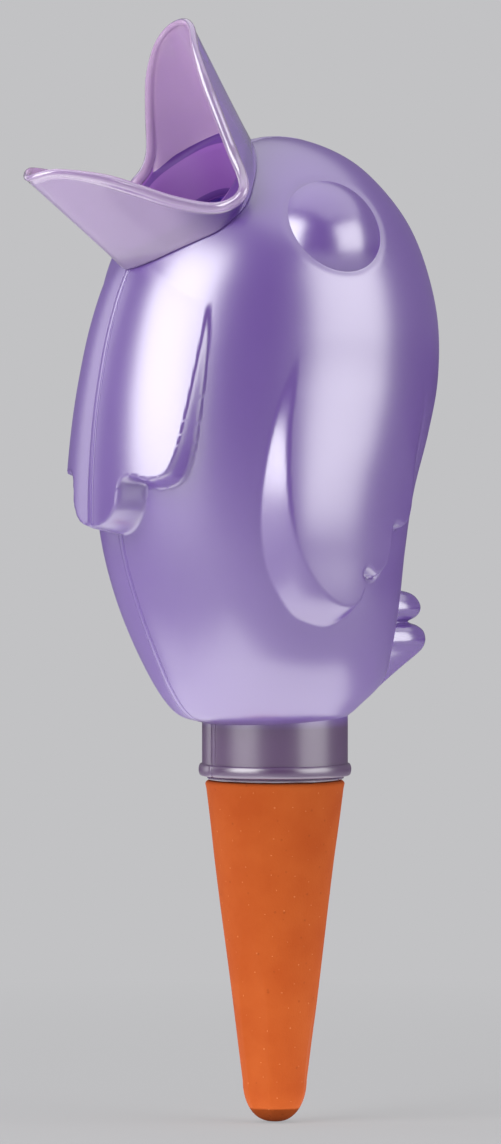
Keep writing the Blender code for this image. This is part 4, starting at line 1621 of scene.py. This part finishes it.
@dataclass
class Studio:
    """Grey paper, soft boxes and the camera at the photograph's angle."""

    floor_height: float = -84.2 * MM
    floor_radius: float = 4.0
    floor_steps: int = 64
    azimuth: float = 58.0
    elevation: float = 3.0
    distance: float = 5.5
    frame_height: float = 280.85 * MM
    centre_right: float = -6.0 * MM
    centre_up: float = 51.06 * MM
    sensor: float = 36.0
    room_light: float = 0.06
    mirrored_share: float = 0.35
    mirrored_span: tuple = (0.3, -0.2)
    lamps: tuple[Softbox, ...] = (
        Softbox("left_softbox", (-0.63, 0.33, 0.55), (0.75, 0.80), 7.5),
        Softbox("left_fill", (-0.8, 0.1, -0.5), (0.4, 0.8), 1.2),
        Softbox("right_softbox", (0.85, 0.26, 0.42), (0.95, 0.75), 5.8),
        Softbox("top_softbox", (0.1, 0.9, -0.1), (1.8, 1.4), 6.6),
        Softbox("table_glow", (-0.03, -0.131, -0.02), (0.28, 0.28), 0.27, aim_up=True),
    )

    def axes(self) -> tuple[Vector, Vector, Vector]:
        """Camera axes in the part's frame.

        Returns:
            Right, up and towards the camera.
        """
        turn, rise = math.radians(self.azimuth), math.radians(self.elevation)
        right = Vector((math.cos(turn), math.sin(turn), 0.0))
        toward = Vector((math.sin(turn) * math.cos(rise), -math.cos(turn) * math.cos(rise), math.sin(rise)))
        return right, toward.cross(right), toward

    def build_camera(self) -> None:
        """Make the camera and set it as the scene's."""
        right, up, toward = self.axes()
        target = right * self.centre_right + up * self.centre_up
        lens = bpy.data.cameras.new("photo_camera")
        lens.sensor_fit = "VERTICAL"
        lens.sensor_height = self.sensor
        lens.lens = self.sensor * self.distance / self.frame_height
        lens.clip_start = 0.01
        camera = add_object("photo_camera", lens)
        turn = Matrix((right, up, toward)).transposed().to_4x4()
        camera.matrix_world = Matrix.Translation(target + toward * self.distance) @ turn
        bpy.context.scene.camera = camera

    def add_lamp(self, softbox: Softbox) -> None:
        """Add a soft box that shines at the bird or straight up.

        Args:
            softbox: The soft box.
        """
        right, up, toward = self.axes()
        offset = right * softbox.place[0] + up * softbox.place[1] + toward * softbox.place[2]
        lamp = bpy.data.lights.new(softbox.name, "AREA")
        lamp.shape = "RECTANGLE"
        lamp.size, lamp.size_y = softbox.size
        lamp.energy = softbox.power
        box = add_object(softbox.name, lamp)
        box.location = up * self.centre_up + offset
        back = Vector((0.0, 0.0, -1.0)) if softbox.aim_up else offset
        box.rotation_euler = back.to_track_quat("Z", "Y").to_euler()
        box.visible_camera = False

    def build_floor(self) -> None:
        """Lay the paper under the cone's tip."""
        form = bmesh.new()
        bmesh.ops.create_circle(form, cap_ends=True, segments=self.floor_steps, radius=self.floor_radius)
        bmesh.ops.translate(form, verts=form.verts, vec=(0.0, 0.0, self.floor_height))
        mesh = bpy.data.meshes.new("studio_floor")
        form.to_mesh(mesh)
        form.free()
        mesh.materials.append(StudioGrey().material())
        floor = add_object("studio_floor", mesh)

    def build_world(self) -> None:
        """Set the grey paper behind the bird, the dark room in front and their even light."""
        world = bpy.data.worlds.new("studio")
        world.use_nodes = True
        tree = world.node_tree
        tree.nodes.clear()
        rays = add_node(tree, "ShaderNodeLightPath").outputs
        look = add_node(tree, "ShaderNodeTexCoord").outputs["Generated"]
        ahead = add_node(tree, "ShaderNodeVectorMath", {0: look, 1: self.axes()[2]}, operation="DOT_PRODUCT")
        behind = ramp(tree, ahead.outputs["Value"], self.mirrored_span, (0.0, self.mirrored_share))
        mirrored = maths(tree, "MULTIPLY", behind, rays["Is Glossy Ray"])
        through = maths(tree, "MAXIMUM", rays["Is Camera Ray"], rays["Is Transmission Ray"])
        paper = add_node(tree, "ShaderNodeBackground", {"Color": linear(StudioGrey.colour)})
        room = add_node(tree, "ShaderNodeBackground", {
            "Color": linear("ffffff"), "Strength": self.room_light,
        })
        mixed = add_node(tree, "ShaderNodeMixShader", {
            0: maths(tree, "MAXIMUM", through, mirrored),
            1: room.outputs["Background"], 2: paper.outputs["Background"],
        })
        add_node(tree, "ShaderNodeOutputWorld", {"Surface": mixed.outputs["Shader"]})
        bpy.context.scene.world = world

    def build(self) -> None:
        """Build the floor, the world, the lamps and the camera."""
        bpy.context.scene.view_settings.view_transform = "Standard"
        self.build_floor()
        self.build_world()
        for softbox in self.lamps:
            self.add_lamp(softbox)
        self.build_camera()


def beak_finishes() -> dict[Zone, Material]:
    """Finishes of the beak funnel.

    Returns:
        The material of each surface.
    """
    deep = {"ior": 1.25, "roughness": 0.4, "haze_share": 0.97}
    finishes = {
        Zone.INSIDE: ClearPlastic(),
        # The lower jaw's outside carries painted shade, deepening to dark purple towards the mouth's corners
        Zone.LOWER_JAW: ClearPlastic("milky_lilac_polystyrene", "cdb9e0", roughness=0.3, haze_share=0.65,
                                     gloss=0.1, corner_shade_colour="5f3a96"),
        Zone.RIM: ClearPlastic("polished_lilac_polystyrene", "d6bfe8", roughness=0.06, gloss=1.0,
                               gloss_roughness=0.14),
        Zone.FLOOR: ClearPlastic("deep_lilac_polystyrene", "8c5bab", **deep),
        Zone.FOLD: ClearPlastic("thick_lilac_polystyrene", "66408e", **deep),
        Zone.UPPER_JAW: ClearPlastic("violet_polystyrene", "a78fd6", roughness=0.15, haze_share=0.6,
                                     gloss=0.5),
    }
    return {zone: finish.material() for zone, finish in finishes.items()}


def main() -> None:
    """Build the looks of every piece, then the studio."""
    logging.basicConfig(level=logging.INFO, format="%(message)s")
    pearl = PearlPlastic().material()
    polished = PearlPlastic("polished_pearl_polyethylene", roughness=0.30).material()
    glossy = PearlPlastic("glossy_pearl_polyethylene", roughness=0.20).material()
    # Painted light: the inside of the shell glows lilac though it is no lamp
    inside = PearlPlastic("painted_glow_inside_of_pearl_polyethylene", roughness=0.6, mica_ior=1.5, glow=0.4).material()
    clay = Terracotta().material()
    grit = Terracotta("terracotta_grog_grains", colour="bd6230", dust="cf7c48", iron="7d3616").material()
    bird = BirdBody(pearl, inside)
    bird.build()
    EyeDomes(polished).build()
    TailTiers(glossy).build()
    BeakFunnel(beak_finishes(), bird).build()
    NeckSeal(ClearSilicone().material()).build()
    ClayCone(clay, grit).build()
    Studio().build()


if __name__ == "__main__":
    main()
